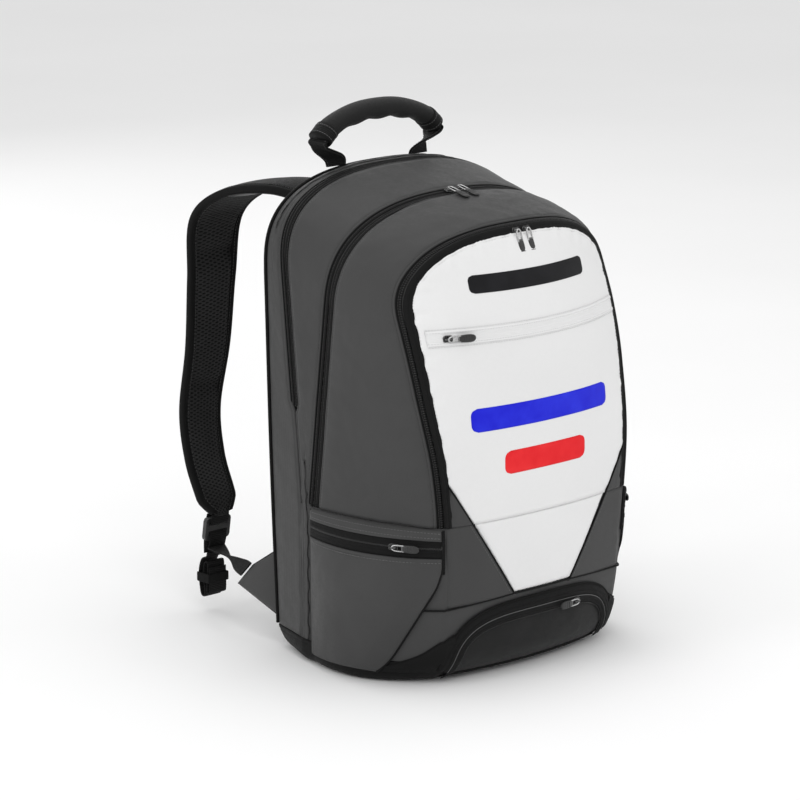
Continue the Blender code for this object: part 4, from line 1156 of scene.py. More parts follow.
def build_gussets():
    """The three strips of cloth over the bag's sides and top, and the zips between them."""
    low = RIM_Z + 0.0004
    rear = Skin(BACK_EDGE, BACK_ZIP, BASE_SKIN_Z)
    mid = Skin(BACK_ZIP, MAIN_ZIP, BASE_SKIN_Z)
    lid = Skin(MAIN_ZIP, FLAP_ZIP, low, bulge=0.010)
    back_zip_room = [np.interp(skin.back[:, 2], [0.266, 0.272], [0.0006, ZIP_ROOM]) for skin in (rear, mid)]
    main_zip_room = np.interp(mid.front[:, 2], [0.164, 0.1685], [0.0006, MAIN_ZIP_ROOM])
    rear_zip, mid_zip = above(rear, BACK_ZIP_END_Z - 0.018), above(mid, BACK_ZIP_END_Z - 0.018)
    mid_rim = above(mid, low - 0.003)
    skin_panel("rear_gusset", rear, 0.0010, back_zip_room[0], (SEAM, HEM), "bag", ["back_gusset"], 14, 1.0)
    hems = (HEM, HEM)
    skin_panel("middle_gusset", mid, back_zip_room[1], main_zip_room, hems, "bag", ["mid_gusset"], 18, 2.0)
    skin_panel("lid_gusset", lid, LID_ROOM, ZIP_ROOM, hems, "main_lid", ["front_gusset"], 30, 3.0, 0.0013)
    zip_half("back_zip_tape_rear", rear, False, "bag", ["back_zip_rear_tape"], 0, *rear_zip)
    zip_half("back_zip_tape_front", mid, True, "bag", ["back_zip_front_tape"], 1, *mid_zip)
    zip_half("main_zip_tape_rear", mid, False, "bag", ["main_zip_rear_tape"], 0, *mid_rim)
    zip_half("main_zip_tape_front", lid, True, "main_lid", ["main_zip_front_tape"], 1)
    zip_half("flap_zip_tape_rear", lid, False, "main_lid", ["flap_zip_rear_tape"], 0)
    whole = (0, None)
    for stem, skin, from_back, body, span, room, thread in (
        ("back_rear", rear, False, "bag", rear_zip, ZIP_ROOM, THREAD_BLACK),
        ("back_front", mid, True, "bag", mid_zip, ZIP_ROOM, THREAD_GREY),
        ("main_rear", mid, False, "bag", mid_rim, MAIN_ZIP_ROOM, THREAD_BLACK),
        ("main_front", lid, True, "main_lid", whole, LID_ROOM, THREAD_GREY),
        ("flap_rear", lid, False, "main_lid", whole, ZIP_ROOM, THREAD_BLACK),
    ):
        inward = skin.in_from_back if from_back else skin.in_from_front
        kept = slice(*span)
        stitch(skin.row(inward(room + STITCH_IN), 0.0009)[kept], skin.out[kept], body, thread, "body_fabric")
        shade = skin.row(inward(room - 0.0005), 0.0003)[kept]
        seam_cord("hem_shadow_" + stem, shade, body, BINDING, radius=0.0007, up_hint=skin.out[kept])
    seam_cord("back_edge_piping", rear.back + rear.out * 0.0010, "bag", radius=0.0019, up_hint=(0, 1, 0.01))


# ---- side pockets ----
POCKET_SWELL = (
    (0.012, 0.0240), (0.030, 0.0285), (0.065, 0.0315), (0.10, 0.0300), (0.1415, 0.0225), (0.155, 0.0195),
    (0.1665, 0.0115),
)
POCKET_PROUD = 0.0050
POCKET_RUN = ((0.010, 0.056), (0.040, 0.040), (0.078, 0.020), (0.105, 0.006), (0.125, 0.0))
# (height, lift) rows of the wall's two hems and of the welt
POCKET_FOOT = ((0.0110, -0.0046), (0.0120, -0.0020), (0.0135, -0.0003), (0.0160, 0.0))
POCKET_MOUTH = ((0.1355, 0.0004), (0.1372, 0.0002), (0.1376, -0.0014))
POCKET_ZIP_LOW, POCKET_ZIP_Z, POCKET_ZIP_HIGH = 0.1476, 0.1480, 0.1484
POCKET_WELT = (
    (0.1556, -0.0010), (0.1560, 0.0006), (0.1572, 0.0010), (0.1590, 0.0005), (0.1620, 0.0009), (0.1650, 0.0003),
    (0.1668, -0.0018), (0.1676, -0.0045),
)


def pocket_run(z):
    """How far back from the bag's front corner the pocket's front seam is at height z."""
    return max(graded(POCKET_RUN, z), 0.0)


def side_point(z, run, lift):
    """A point on the shell's left side, a distance run back from its front corner."""
    back = left_foot(MAIN_ZIP, z)
    chord = left_foot(FLAP_ZIP, z) - back
    out = outward(chord)
    share = 1 - run / chord.length
    bulge = graded(SIDE_BULGE, z)
    return back + chord * share + out * (4 * bulge * share * (1 - share) + lift - undercut(z, SIDE_RADIUS))


def pocket_line(z, swell, proud):
    """Plan of the left pocket's wall at height z, proud of the shell, from the main zip to its front seam."""
    back, front = left_foot(MAIN_ZIP, z), left_foot(FLAP_ZIP, z)
    chord = front - back
    out = outward(chord)
    half = chord.length / 2
    radius = (half**2 + swell**2) / (2 * swell)
    centre = (back + front) / 2 + out * (swell - radius)
    reach = math.asin(half / radius)
    run = pocket_run(z) / chord.length
    line = []
    for i in range(POCKET_COUNT):
        share = (1 - run) * i / (POCKET_COUNT - 1)
        turn = Matrix.Rotation(reach * (2 * share - 1), 4, "Z")
        point = centre + out * proud + turn @ (out * radius)
        near = min((1 - run - share) / 0.16, 1.0)
        drop = (1 - math.sqrt(max(near, 0.0))) * min(run / 0.07, 1.0)
        line.append(point.lerp(side_point(z, (1 - share) * chord.length, 0.0022 + 0.3 * proud), drop))
    return [Vector((p.x, p.y, z)) for p in line]


def pocket_grid(rows, sign, seed=0.0, wander=0.0):
    """A pocket's wall from (height, lift) rows, closed onto the shell at its two ends."""
    grid = []
    for z, lift in rows:
        swell = graded(POCKET_SWELL, z)
        wall = pocket_line(z, swell, POCKET_PROUD + lift)
        foot = pocket_line(z, swell, 0.0004)
        middle = pocket_line(z, swell, POCKET_PROUD * 0.75 + lift)
        grid.append(mirrored_line([foot[0], middle[0]] + wall + [middle[-1], foot[-1]], sign))
    grid = np.array(grid)
    if wander:
        inside = np.zeros(grid.shape[:2])
        inside[3:-3, 4:-4] = 1.0
        dents = rumple(grid, wander, 0.038, seed) + rumple(grid, wander * 0.3, 0.013, seed + 2)
        grid[..., 0] += sign * (dents - wander * 0.3) * inside
    return grid


def pocket_row(z, lift, sign):
    """A line along the outer face of a pocket at height z."""
    return mirrored_line(pocket_line(z, graded(POCKET_SWELL, z), POCKET_PROUD + lift), sign)


def build_pocket(side, sign):
    """A side pocket: its wall, the black zip band above it and the grey welt that the zip is sewn under."""
    body = POCKET_FOOT + tuple((z, 0.0) for z in np.linspace(0.021, 0.1330, 24)) + POCKET_MOUTH
    tape = [(POCKET_ZIP_LOW - d, h - 0.0004) for d, h in reversed(TAPE_PROFILE)]
    tape += [(POCKET_ZIP_HIGH + d, h - 0.0004) for d, h in TAPE_PROFILE]
    wall = pocket_grid(body, sign, seed=4.0 + sign, wander=0.0014)
    for stem, grid, material, thickness, slot, replaced in (
        ("wall", wall, GREY, 0.0014, "body_fabric", ["side_pocket_" + side]),
        ("zip", pocket_grid(tape, sign), TAPE_CLOTH, 0.0008, "zip_tape", ["side_pocket_zip_" + side]),
        ("welt", pocket_grid(POCKET_WELT, sign), GREY, 0.0012, "body_fabric", ()),
    ):
        piece = cloth_grid(f"pocket_{stem}_{side}", grid, material, thickness=thickness, flip=sign > 0)
        place(piece, "bag", slot, replaced)
    for z, lift in ((0.1333, 0.0003), (0.1590, 0.0006), (0.1640, 0.0005)):
        stitch(pocket_row(z, lift, sign), (sign, 0, 0), "bag", THREAD_GREY, "body_fabric")
    middle = pocket_row(POCKET_ZIP_Z, 0.0, sign)
    up = np.broadcast_to((0.0, 0.0, 1.0), middle.shape)
    outs = np.broadcast_to((float(sign), 0.0, 0.0), middle.shape)
    zip_teeth(middle, up, outs, "bag", 0)
    zip_teeth(middle, -up, outs, "bag", 1)
    # A black cord runs up each end of the pocket; at the front end its black is painted shadow along the
    # pocket's edge.
    for end, stem in ((-1, "front"), (0, "rear")):
        heights = np.linspace(0.012, 0.1665, 30)
        line = [pocket_line(z, graded(POCKET_SWELL, z), POCKET_PROUD * 0.62)[end] for z in heights]
        line = mirrored_line(line, sign)
        seam_cord(f"pocket_seam_{stem}_{side}", line, "bag", radius=0.0013, up_hint=(sign, 0, 0))


# ---- back panel, pads and the inside ----
def build_back_panel():
    """The black back wall in one cloth, from the base to the top."""
    pairs = front_patch(BACK_EDGE, 0.0006, BASE_SKIN_Z, 56, 44)
    grid = np.stack([pairs[..., 0], np.full(pairs.shape[:2], BACK_Y + 0.0004), pairs[..., 1]], axis=2)
    grid[..., 1] += 0.0004 * np.clip(rumple(grid, 1.0, 0.03, 6.0), -0.8, 0.8)
    panel = cloth_grid("back_wall", grid, BLACK, thickness=0.0016, flip=True)
    place(panel, "bag", "black_fabric", ["back_panel"])


PAD_SHRINK = (0.985, 0.86, 0.985)  # a pad starts this much smaller than its solid, and swells
PAD_VOXEL, PAD_CORNER, PAD_RIM = 0.0050, 0.018, 0.0016


def pad_from(node, fill, grooves):
    """A foam pad blown up as cloth from its CAD solid, with sewn grooves pressed in afterwards."""
    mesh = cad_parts[node].data.copy()
    mesh.materials.clear()
    made = as_object("pad_" + node, mesh, MESH_3D)
    points = points_of(made)
    middle = (points.max(0) + points.min(0)) / 2
    points = middle + (points - middle) * PAD_SHRINK
    points[:, 1] += BACK_Y + 0.0006 - points[:, 1].min()
    set_points(made, points)
    remeshed(made, PAD_VOXEL)
    puffed(made, 5.0, 0.004)
    points = points_of(made)
    depth = points[:, 1] - BACK_Y
    for z in grooves:
        points[:, 1] -= np.clip(depth, 0, None) * 0.55 * np.exp(-(((points[:, 2] - z) / 0.0042) ** 2))
    points[:, 1] = np.maximum(points[:, 1], BACK_Y + 0.0003)
    set_points(made, points)
    place(smoother(made), "bag", "air_mesh", [node], fill)


def build_pads():
    pads = (("back_pad_left", 0.7, (0.248, 0.310, 0.372)), ("back_pad_right", 0.7, (0.248, 0.310, 0.372)))
    pads += (("lumbar_pad", 0.75, (0.100,)),)
    for pad in pads:
        pad_from(*pad)
    for node, _, _ in pads:
        low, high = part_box(node)
        line = []
        for right, top, start in ((1, 1, 0), (-1, 1, 90), (-1, -1, 180), (1, -1, 270)):
            x = (high.x if right > 0 else low.x) - right * PAD_CORNER
            z = (high.z if top > 0 else low.z) - top * PAD_CORNER
            for k in range(8):
                angle = math.radians(start + 90 * k / 7)
                reach = PAD_CORNER + PAD_RIM
                line.append((x + reach * math.cos(angle), BACK_Y + 0.0012, z + reach * math.sin(angle)))
        line.append(line[0])
        seam_cord("rim_of_" + node, resampled(line, 160), "bag", BINDING, radius=0.0018, up_hint=(0, 1, 0))


def recoloured(node, material):
    """Gives a CAD node that stays a better material."""
    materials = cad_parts[node].data.materials
    materials.clear()
    materials.append(material)


DIVIDER_IN, DIVIDER_Y = 0.0200, 0.0334
TUNNEL_HALF, TUNNEL_TOP, TUNNEL_REAR, TUNNEL_FLOOR, TUNNEL_BEND = 0.118, 0.084, 0.045, 0.0095, 0.012
LINER_IN, LINER_Y, LINER_LEAN = 0.010, -0.078, 0.026  # the lining leans back by LINER_LEAN on its way up


def build_divider():
    low = RIM_Z + 0.006
    pairs = front_patch(BACK_ZIP, DIVIDER_IN, low, 26, 30)
    front = np.stack([pairs[..., 0], np.full(pairs.shape[:2], DIVIDER_Y), pairs[..., 1]], axis=2)
    distance, _ = edge_distance(pairs, hoop_outline(BACK_ZIP, low, DIVIDER_IN))
    front[..., 1] -= 0.0022 * np.clip(distance / 0.02, 0, 1) ** 0.5 + rumple(front, 0.0008, 0.06, 2.0)
    divider = cloth_grid("divider_padded", front, LINING, thickness=0.0040)
    place(divider, "bag", "lining", ["divider"], fill=0.5)
    edge = hoop_points(BACK_ZIP, low, DIVIDER_IN)
    edge[:, 1] = DIVIDER_Y + 0.0011
    seam_cord("divider_binding", edge, "bag", BINDING, radius=0.0024, up_hint=FACING)


def build_tunnel():
    """The shoe compartment's roof and rear wall."""
    bend_y, bend_z = TUNNEL_REAR - TUNNEL_BEND, TUNNEL_TOP - TUNNEL_BEND
    profile = [(y, TUNNEL_TOP) for y in np.linspace(-0.120, bend_y, 18)]
    for angle in np.linspace(0.2, 1.57, 6):
        profile.append((bend_y + TUNNEL_BEND * math.sin(angle), bend_z + TUNNEL_BEND * math.cos(angle)))
    profile += [(TUNNEL_REAR, z) for z in np.linspace(TUNNEL_TOP - 0.018, TUNNEL_FLOOR, 10)]
    grid = np.array([[(x, y, z) for x in np.linspace(-TUNNEL_HALF, TUNNEL_HALF, 30)] for y, z in profile])
    grid[..., 2] -= np.clip(rumple(grid, 0.0016, 0.06, 5.0), -0.001, 0.001) * (grid[..., 2] > 0.02)
    place(cloth_grid("tunnel_lining", grid, LINING, thickness=0.0016), "bag", "lining", ["shoe_tunnel"])


def build_liner():
    """The front compartment's lining: back wall, floor, and a collar out to the flap's zip."""
    low = RIM_Z + 0.002
    pairs = front_patch(FLAP_ZIP, LINER_IN, low, 30, 34)
    high = FLAP_ZIP["top"] - LINER_IN - low
    share = (pairs[..., 1] - low) / high
    wall = np.stack([pairs[..., 0], LINER_Y + LINER_LEAN * share, pairs[..., 1]], axis=2)
    floor_rows = [[(x, y, low) for x in wall[0, :, 0]] for y in np.linspace(-0.128, -0.080, 9)]
    grid = np.concatenate([np.array(floor_rows), wall])
    grid[..., 1] += rumple(grid, 0.0014, 0.05, 7.0)
    lining = cloth_grid("pocket_lining", grid, LINING, thickness=0.0014)
    place(lining, "main_lid", "lining", ["front_pocket_liner"])
    mouth, deep = hoop_points(FLAP_ZIP, low, 0.0035), hoop_points(FLAP_ZIP, low, LINER_IN)
    deep[:, 1] = LINER_Y + LINER_LEAN * (deep[:, 2] - low) / high
    mouth[:, 1] += 0.0028
    grid = [mouth + (deep - mouth) * t for t in np.linspace(0, 1.0, 10)]
    place(cloth_grid("pocket_lining_side", grid, LINING, thickness=0.0010), "main_lid", "lining")


def build_inside():
    """Lining and foam inside the bag, seen when the lid, the flap or the shoe door is open."""
    recoloured("base_board", BOARD)
    recoloured("frame_sheet", BOARD)
    build_divider()
    build_tunnel()
    build_liner()


# ---- handle ----
HANDLE_PIVOT_Y = 0.102
HANDLE_NARROW = 0.92  # the photograph's handle is narrower than its solid
GRIP_HALF_WIDE, GRIP_HALF_HIGH = 0.0146, 0.0104
GRIP_MARKS = ((-0.088, 0.5295), (-0.070, 0.5420), (-0.035, 0.5520), (0.0, 0.5545))
HANDLE_WEB_MARKS = (
    (-0.0640, 0.5000, 0.0), (-0.0655, 0.5060, 0.10), (-0.0720, 0.5120, 0.38), (-0.0815, 0.5175, 0.76),
    (-0.0885, 0.5220, 1.0), (-0.0918, 0.5262, 1.0), (-0.0888, 0.5292, 1.0),
)


def build_handle():
    """The padded grip with its finger waves, a collar at each end, and the two webbing legs."""
    marks = list(GRIP_MARKS) + [(-x, z) for x, z in reversed(GRIP_MARKS[:-1])]
    line = resampled(smooth_line([(x * HANDLE_NARROW, 0.103, z) for x, z in marks], 12), 60)
    at = travelled(line) / travelled(line)[-1]
    side = np.broadcast_to((0.0, 1.0, 0.0), line.shape)
    up = square_to(line, side)
    up *= np.sign(up[:, 2:])
    profiles = []
    for t in at:
        end = min(1.0, min(t, 1 - t) / 0.035)
        swell = 0.90 + 0.10 * math.sin(math.pi * t)
        waves = 0.0011 * math.cos(2 * math.pi * 5 * (t - 0.5)) * min(1.0, min(t, 1 - t) / 0.12)
        wide = GRIP_HALF_WIDE * swell * (0.86 + 0.14 * end)
        high = GRIP_HALF_HIGH * swell * (0.86 + 0.14 * end)
        profiles.append([(wide * c, high * s + (waves * s if s < 0 else 0.0)) for c, s in circle(24)])
    grip = sweep("grip_pad", line, side, up, profiles, GRIP)
    puffed(grip, 6.0, 0.0022)
    place(smoother(grip), "handle", "black_fabric", ["handle_grip"], fill=0.85)
    for name, sign in SIDES:
        last = slice(None, 6) if sign < 0 else slice(-6, None)
        ends, aside, upward = line[last], side[last], up[last]
        collar = sweep("grip_collar_" + name, ends, aside, upward, ring(0.0148, 0.0110, 24), WEBBING)
        place(collar, "handle", "webbing")
        for k in (1, 4):
            turns = np.linspace(0, 2 * math.pi, 30)
            across, high = aside[k], upward[k]
            loop = [ends[k] + across * 0.0149 * math.cos(a) + high * 0.0111 * math.sin(a) for a in turns]
            outs = [across * math.cos(a) + high * math.sin(a) for a in turns]
            stitch(loop, outs, "handle", THREAD_GREY, "webbing", pitch=0.0030)
        marks = smooth_line(HANDLE_WEB_MARKS, 6)
        leg = mirrored_line([(x * HANDLE_NARROW, 0, z) for x, z, _ in marks], sign)
        leg[:, 1] = HANDLE_PIVOT_Y + 0.001 * marks[:, 2]
        turns = np.minimum(marks[:, 2], 1.0) * math.pi / 2
        across = np.stack([-sign * np.cos(turns), -np.sin(turns), 0 * turns], axis=1)
        normal = square_to(leg, across)
        web = sweep("handle_leg_" + name, leg, across, normal, ring(0.0135, 0.0013, 20, flat=0.45), WEBBING)
        place(web, "handle", "webbing", ["handle_webbing_" + name])
        for edge in (-0.0112, 0.0112):
            for face in (normal, -normal):
                row = leg + across * edge + face * 0.0013
                stitch(row, face, "handle", THREAD_BLACK, "webbing", pitch=0.0030)


# ---- shoulder straps ----
STRAP_THICK = 0.011
STRAP_CREASES = ((0.205, 0.007), (0.352, 0.008))  # where the strap folds, and how long each fold is
STRAP_MARKS = (
    (-0.068, 0.1095, 0.4700, 0.062), (-0.075, 0.1550, 0.4750, 0.068), (-0.081, 0.2150, 0.4640, 0.073),
    (-0.086, 0.2590, 0.4310, 0.070), (-0.087, 0.2670, 0.3650, 0.063), (-0.089, 0.2720, 0.2900, 0.058),
    (-0.095, 0.2790, 0.2200, 0.053), (-0.099, 0.2680, 0.1700, 0.051), (-0.100, 0.2520, 0.1350, 0.050),
    (-0.100, 0.2380, 0.1080, 0.047),
)
BUCKLE = Vector((-0.1005, 0.2420, 0.1000))
WING_TIP = Vector((-0.130, 0.1650, 0.0620))


def strap_frame(sign):
    """The strap's centre line, its widths, its two cross directions, and how far along each point is."""
    marks = resampled(smooth_line(STRAP_MARKS, 16), 110)
    line = marks[:, :3] * (-sign, 1, 1)
    along = unit(np.gradient(line, axis=0))
    side = unit(np.array((1.0, 0.0, 0.0)) - along * along[:, :1])
    return line, marks[:, 3], side, unit(np.cross(along, side)), travelled(line)


def build_strap(name, sign):
    """A shoulder strap: its foam pad, bound edges, smooth outer cover and the patch sewn over its root."""
    body = "strap_" + name
    line, width, side, up, at = strap_frame(sign)
    length = at[-1]
    profiles, ends = [], []
    for w, s in zip(width, at):
        end = min(1.0, math.sqrt(max(s + 0.002, 0) / 0.012), math.sqrt(max(length - s + 0.002, 0) / 0.022))
        crease = sum(math.exp(-(((s - middle) / long) ** 2)) for middle, long in STRAP_CREASES)
        ends.append(end)
        across = (w * (1 - 0.035 * crease) / 2 - 0.0025) * end
        high, thin = STRAP_THICK / 2 - 0.0012 - 0.0034 * crease, 0.55 + 0.45 * end
        profiles.append([(across * powered(c, 0.55), high * powered(h, 0.8) * thin) for c, h in circle(32)])
    pad = sweep("strap_pad_" + name, line, side, up, profiles, MESH)
    puffed(pad, 5.0, 0.0014)
    place(smoother(pad), body, "air_mesh", ["shoulder_strap_" + name], fill=0.7)
    span = slice(1, -1)
    half = (width / 2 * np.array(ends))[span, None]
    for edge, stem in ((-1, "inner"), (1, "outer")):
        rim = line[span] + side[span] * (half - 0.0026) * edge
        section = ring(0.0040, 0.0042, 14, flat=0.7)
        made = sweep(f"strap_binding_{stem}_{name}", rim, side[span], up[span], section, BINDING)
        place(made, body, "black_fabric")
        for face in (-1, 1):
            row = line[span] + side[span] * (half - 0.0058) * edge + up[span] * face * 0.0047
            stitch(row, up[span] * face, body, THREAD_BLACK, "black_fabric", pitch=0.0032)
    outer = 1.0 if up[20, 2] > 0 else -1.0
    grid, shares = [], np.linspace(-1, 1, 14)
    for k in range(4, 107):
        w = width[k] / 2 * ends[k] - 0.0055
        middle, lift = line[k], up[k] * outer
        grid.append([middle + side[k] * w * u + lift * (0.0058 - 0.0022 * u * u) for u in shares])
    cover = cloth_grid("strap_cover_" + name, grid, BLACK, thickness=0.0008, flip=sign * outer > 0)
    place(cover, body, "black_fabric")
    grid = []
    for k in range(1, 24):
        w = width[k] / 2 - 0.001
        middle, lift = line[k], up[k] * outer
        across = [(powered(u, 0.9), 0.0062 - 0.0016 * u * u) for u in shares]
        grid.append([middle + side[k] * w * u - lift * high for u, high in across])
    patch = cloth_grid("strap_patch_" + name, grid, GREY, thickness=0.0009, flip=sign * outer < 0)
    place(patch, body, "body_fabric")
    last = 23
    half, lift = width[last] / 2 - 0.002, up[last] * outer
    row = [line[last - 1] + side[last] * half * u - lift * 0.0062 for u in np.linspace(-1, 1, 30)]
    stitch(row, -lift, body, THREAD_GREY, "body_fabric", pitch=0.0030)


LOCK_CENTRE = Vector((BUCKLE.x, BUCKLE.y + 0.006, BUCKLE.z - 0.006))
LOCK_DOWN, LOCK_OUT = Vector((0, 0.15, -1)).normalized(), Vector((0, 1, 0.15)).normalized()
# (out, down) from the lock's centre: the strap's sewn loop, and the webbing's turn over the bar
LOCK_LOOP = (
    (0.0035, -0.016), (0.0044, -0.010), (0.0040, -0.0060), (0.0, -0.0048), (-0.0040, -0.0060),
    (-0.0046, -0.010), (-0.0040, -0.018),
)
LOCK_TURN = (
    (-0.0022, 0.0232), (-0.0036, 0.0160), (-0.0040, 0.0090), (-0.0024, 0.0052), (0.0012, 0.0020),
    (0.0040, 0.0034), (0.0050, 0.0090), (0.0048, 0.0180), (0.0030, 0.0290),
)
ACROSS = (1.0, 0.0, 0.0)


def build_lock(name, sign):
    """The ladder lock keeps its CAD shape; ribs, a sewn loop and the webbing through it are added."""
    recoloured("ladder_lock_" + name, PLASTIC)
    body = "strap_" + name
    for k, offset in enumerate((-0.0090, 0.0, 0.0095)):
        middle = LOCK_CENTRE + LOCK_DOWN * offset
        shares = np.linspace(-0.0155, 0.0155, 9)
        bar = mirrored_line([middle + Vector((u, 0, 0)) + LOCK_OUT * 0.0024 for u in shares], sign)
        seam_cord(f"lock_rib_{k}_{name}", bar, body, PLASTIC, 0.0013, tuple(LOCK_OUT), "buckle_plastic")
    for stem, marks, steps, half in (("loop", LOCK_LOOP, 5, 0.0125), ("webbing", LOCK_TURN, 6, 0.0120)):
        path = [LOCK_CENTRE + LOCK_OUT * a + LOCK_DOWN * b for a, b in smooth_line(marks, steps)]
        web = webbing(f"lock_{stem}_{name}", mirrored_line(path, sign), ACROSS, half, 0.0008, 16)
        place(web, body, "webbing")


def build_lower_webbing(name, sign):
    """The webbing from the bag's corner to the lock."""
    start = WING_TIP + Vector((0, 0.707, 0.707)) * 0.011
    end = BUCKLE + Vector((0, 0.0070, -0.0275))
    steps = np.linspace(-0.12, 1.0, 46)
    line = mirrored_line([start.lerp(end, t) for t in steps], sign)
    line += np.array((0.0, 0.0, -1.0)) * 0.002 * np.sin(np.clip(steps, 0, 1) * math.pi)[:, None]
    edge_on, level = Vector((0, 0.707, -0.707)), Vector((1, 0, 0))
    across = unit(mirrored_line([edge_on.lerp(level, min(max(t, 0), 1)) for t in steps], sign))
    web = webbing("lower_strap_" + name, line, across, 0.0125, 0.0009, 20)
    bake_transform(web)
    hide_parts("lower_webbing_" + name)


# (y, z) from the buckle: the folded webbing, and the corners of its elastic in plan
TAIL_FOLDS = (
    (-0.0010, 0.0010), (0.0010, -0.0040), (0.0085, -0.0080), (0.0128, -0.0220), (0.0104, -0.0440),
    (0.0060, -0.0485), (0.0040, -0.0440), (0.0060, -0.0220), (0.0040, -0.0120), (0.0010, -0.0100),
    (-0.0010, -0.0140), (0.0005, -0.0400), (-0.0020, -0.0445), (-0.0040, -0.0400), (-0.0036, -0.0160),
)


TAIL_ELASTIC = (
    (-0.0134, -0.0058), (0.0134, -0.0058), (0.0134, 0.0142), (-0.0134, 0.0142), (-0.0134, -0.0058),
)


def build_tail(name, sign):
    """The spare webbing, folded in flat turns and held by a loop of elastic."""
    top = BUCKLE + Vector((0.004, 0.0090, -0.0340))
    x = top.x - 0.004
    path = mirrored_line([(x, top.y + a, top.z + b) for a, b in smooth_line(TAIL_FOLDS, 7)], sign)
    web = webbing("tail_folds_" + name, path, ACROSS, 0.0122, 0.0009, 18)
    place(web, "tail_" + name, "webbing", ["webbing_tail_" + name])
    band = resampled(mirrored_line([(x + a, top.y + b, top.z - 0.0275) for a, b in TAIL_ELASTIC], sign), 60)
    up = np.broadcast_to((0.0, 0.0, 1.0), band.shape)
    section = ring(0.0050, 0.0007, 10, flat=0.5)
    elastic = sweep("tail_elastic_" + name, band, up, square_to(band, up), section, BINDING)
    place(elastic, "tail_" + name, "webbing")


WING_X = -0.1302
WING_CORNERS = ((0.1028, 0.108), (0.156, 0.0745), (0.1785, 0.0510), (0.1028, 0.024))


def build_wing(name, sign):
    """The sewn triangle at the lower corner, stuffed a little, with light piping along its tip."""
    root, shoulder, tip, foot = (Vector((WING_X, y, z)) for y, z in WING_CORNERS)
    top = [root.lerp(shoulder, t) for t in np.linspace(0, 1, 16)]
    top += [shoulder.lerp(tip, t) for t in np.linspace(0.15, 1, 8)]
    low = [foot.lerp(tip, t) for t in np.linspace(0, 1, len(top))]
    for face, stem in ((-1, "outer"), (1, "inner")):
        grid = []
        for u in np.linspace(0, 1, 18):
            row = []
            for k, (a, b) in enumerate(zip(top, low)):
                t = k / (len(top) - 1)
                swell = 0.35 + 0.65 * math.sin(math.pi * min(t * 1.1, 1))
                bulge = 0.0028 * (math.sin(math.pi * u) ** 0.5) * swell
                row.append(a.lerp(b, float(u)) + Vector((face * (0.0004 + bulge), 0, 0)))
            grid.append(mirrored_line(row, sign))
        piece = cloth_grid(f"wing_{stem}_{name}", grid, GREY, thickness=0.0008, flip=(face < 0) == (sign < 0))
        place(piece, "bag", "body_fabric", ["strap_wing_" + name] if stem == "outer" else ())
    rim, sole = mirrored_line(top, sign), mirrored_line(low, sign)
    for stem, line in (("top", rim), ("low", sole)):
        seam_cord(f"wing_{stem}_seam_{name}", resampled(line, 50), "bag", BINDING, 0.0013, ACROSS)
    edge = [shoulder.lerp(tip, t) + Vector((0, -0.0035, -0.0015)) for t in np.linspace(0, 1, 12)]
    inside = [Vector(a) * 0.84 + Vector(b) * 0.16 for a, b in zip(rim, sole)]
    for side, stem in ((-1, "inner"), (1, "outer")):
        line = mirrored_line([p + Vector((side * 0.0012, 0, 0)) for p in edge], sign)
        seam_cord(f"wing_tip_piping_{stem}_{name}", line, "bag", THREAD_GREY, 0.0006, ACROSS)
        row = [(p.x + side * 0.0016, p.y, p.z) for p in inside][2:-2]
        stitch(row, (side, 0, 0), "bag", THREAD_GREY, "body_fabric", pitch=0.0032)


# ---- zip sliders and pullers ----
SLIDER_LOOPS = (  # half length, half width, height, waist
    (0.0046, 0.0033, 0.0002, 0.0), (0.0053, 0.0039, 0.0005, 0.0), (0.0053, 0.0039, 0.0015, 0.18),
    (0.0048, 0.0034, 0.0020, 0.25),
)
SLIDER_BRIDGE = (
    (-0.0036, 0.0016), (-0.0030, 0.0034), (-0.0012, 0.0044), (0.0012, 0.0044), (0.0030, 0.0034),
    (0.0036, 0.0016),
)
WIRE_HALF = ((0.0175, 0.66), (0.0110, 0.70), (0.0045, 0.66), (0.0015, 0.42))  # along, share of the half width
TIP_LENGTH, TIP_HALF_HIGH = 0.0300, 0.00135
TIP_LOOPS = (  # along, share of the half width, share of the half height
    (0.0120, 0.62, 0.35), (0.0124, 0.80, 0.62), (0.0140, 0.90, 0.80), (0.0180, 0.96, 0.92), (0.0215, 1.0, 1.0),
    (0.0250, 0.96, 1.0), (0.0278, 0.80, 0.88), (0.0294, 0.52, 0.62), (0.0300, 0.22, 0.30),
)


def axes_of(node):
    """Centre and long, middle and thin directions of a CAD node's shape, with their half sizes."""
    points = points_of(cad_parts[node])
    _, vectors = np.linalg.eigh(np.cov((points - points.mean(0)).T))
    axes = [vectors[:, 2], vectors[:, 1], vectors[:, 0]]
    centre = points.mean(0)
    sizes = []
    for axis in axes:
        reach = (points - centre) @ axis
        centre = centre + axis * (reach.max() + reach.min()) / 2
        sizes.append((reach.max() - reach.min()) / 2)
    return centre, axes[0], axes[2], sizes


def boxy(name, loops, material, place_at):
    """A lofted body through loops of (x, y, z) in a frame of its own, with round edges."""
    origin, x_axis, y_axis, z_axis = place_at
    loops = np.asarray(loops, float)
    points = origin + loops[..., :1] * x_axis + loops[..., 1:2] * y_axis + loops[..., 2:] * z_axis
    mesh = mesh_of(name, points, quads(*loops.shape[:2], True) + ends_of(*loops.shape[:2]))
    face_outwards(mesh)
    made = as_object(name, mesh, material)
    edge = made.modifiers.new("Edges", "BEVEL")
    edge.width, edge.segments, edge.limit_method = 0.00025, 2, "ANGLE"
    return made


def oval(half_x, half_y, z, waist):
    """A rounded outline at height z, drawn in at its middle by waist."""
    loop = []
    for c, s in circle(28):
        loop.append((half_x * powered(c, 0.6), half_y * powered(s, 0.6) * (1 - waist * (1 - abs(c)) ** 2), z))
    return loop


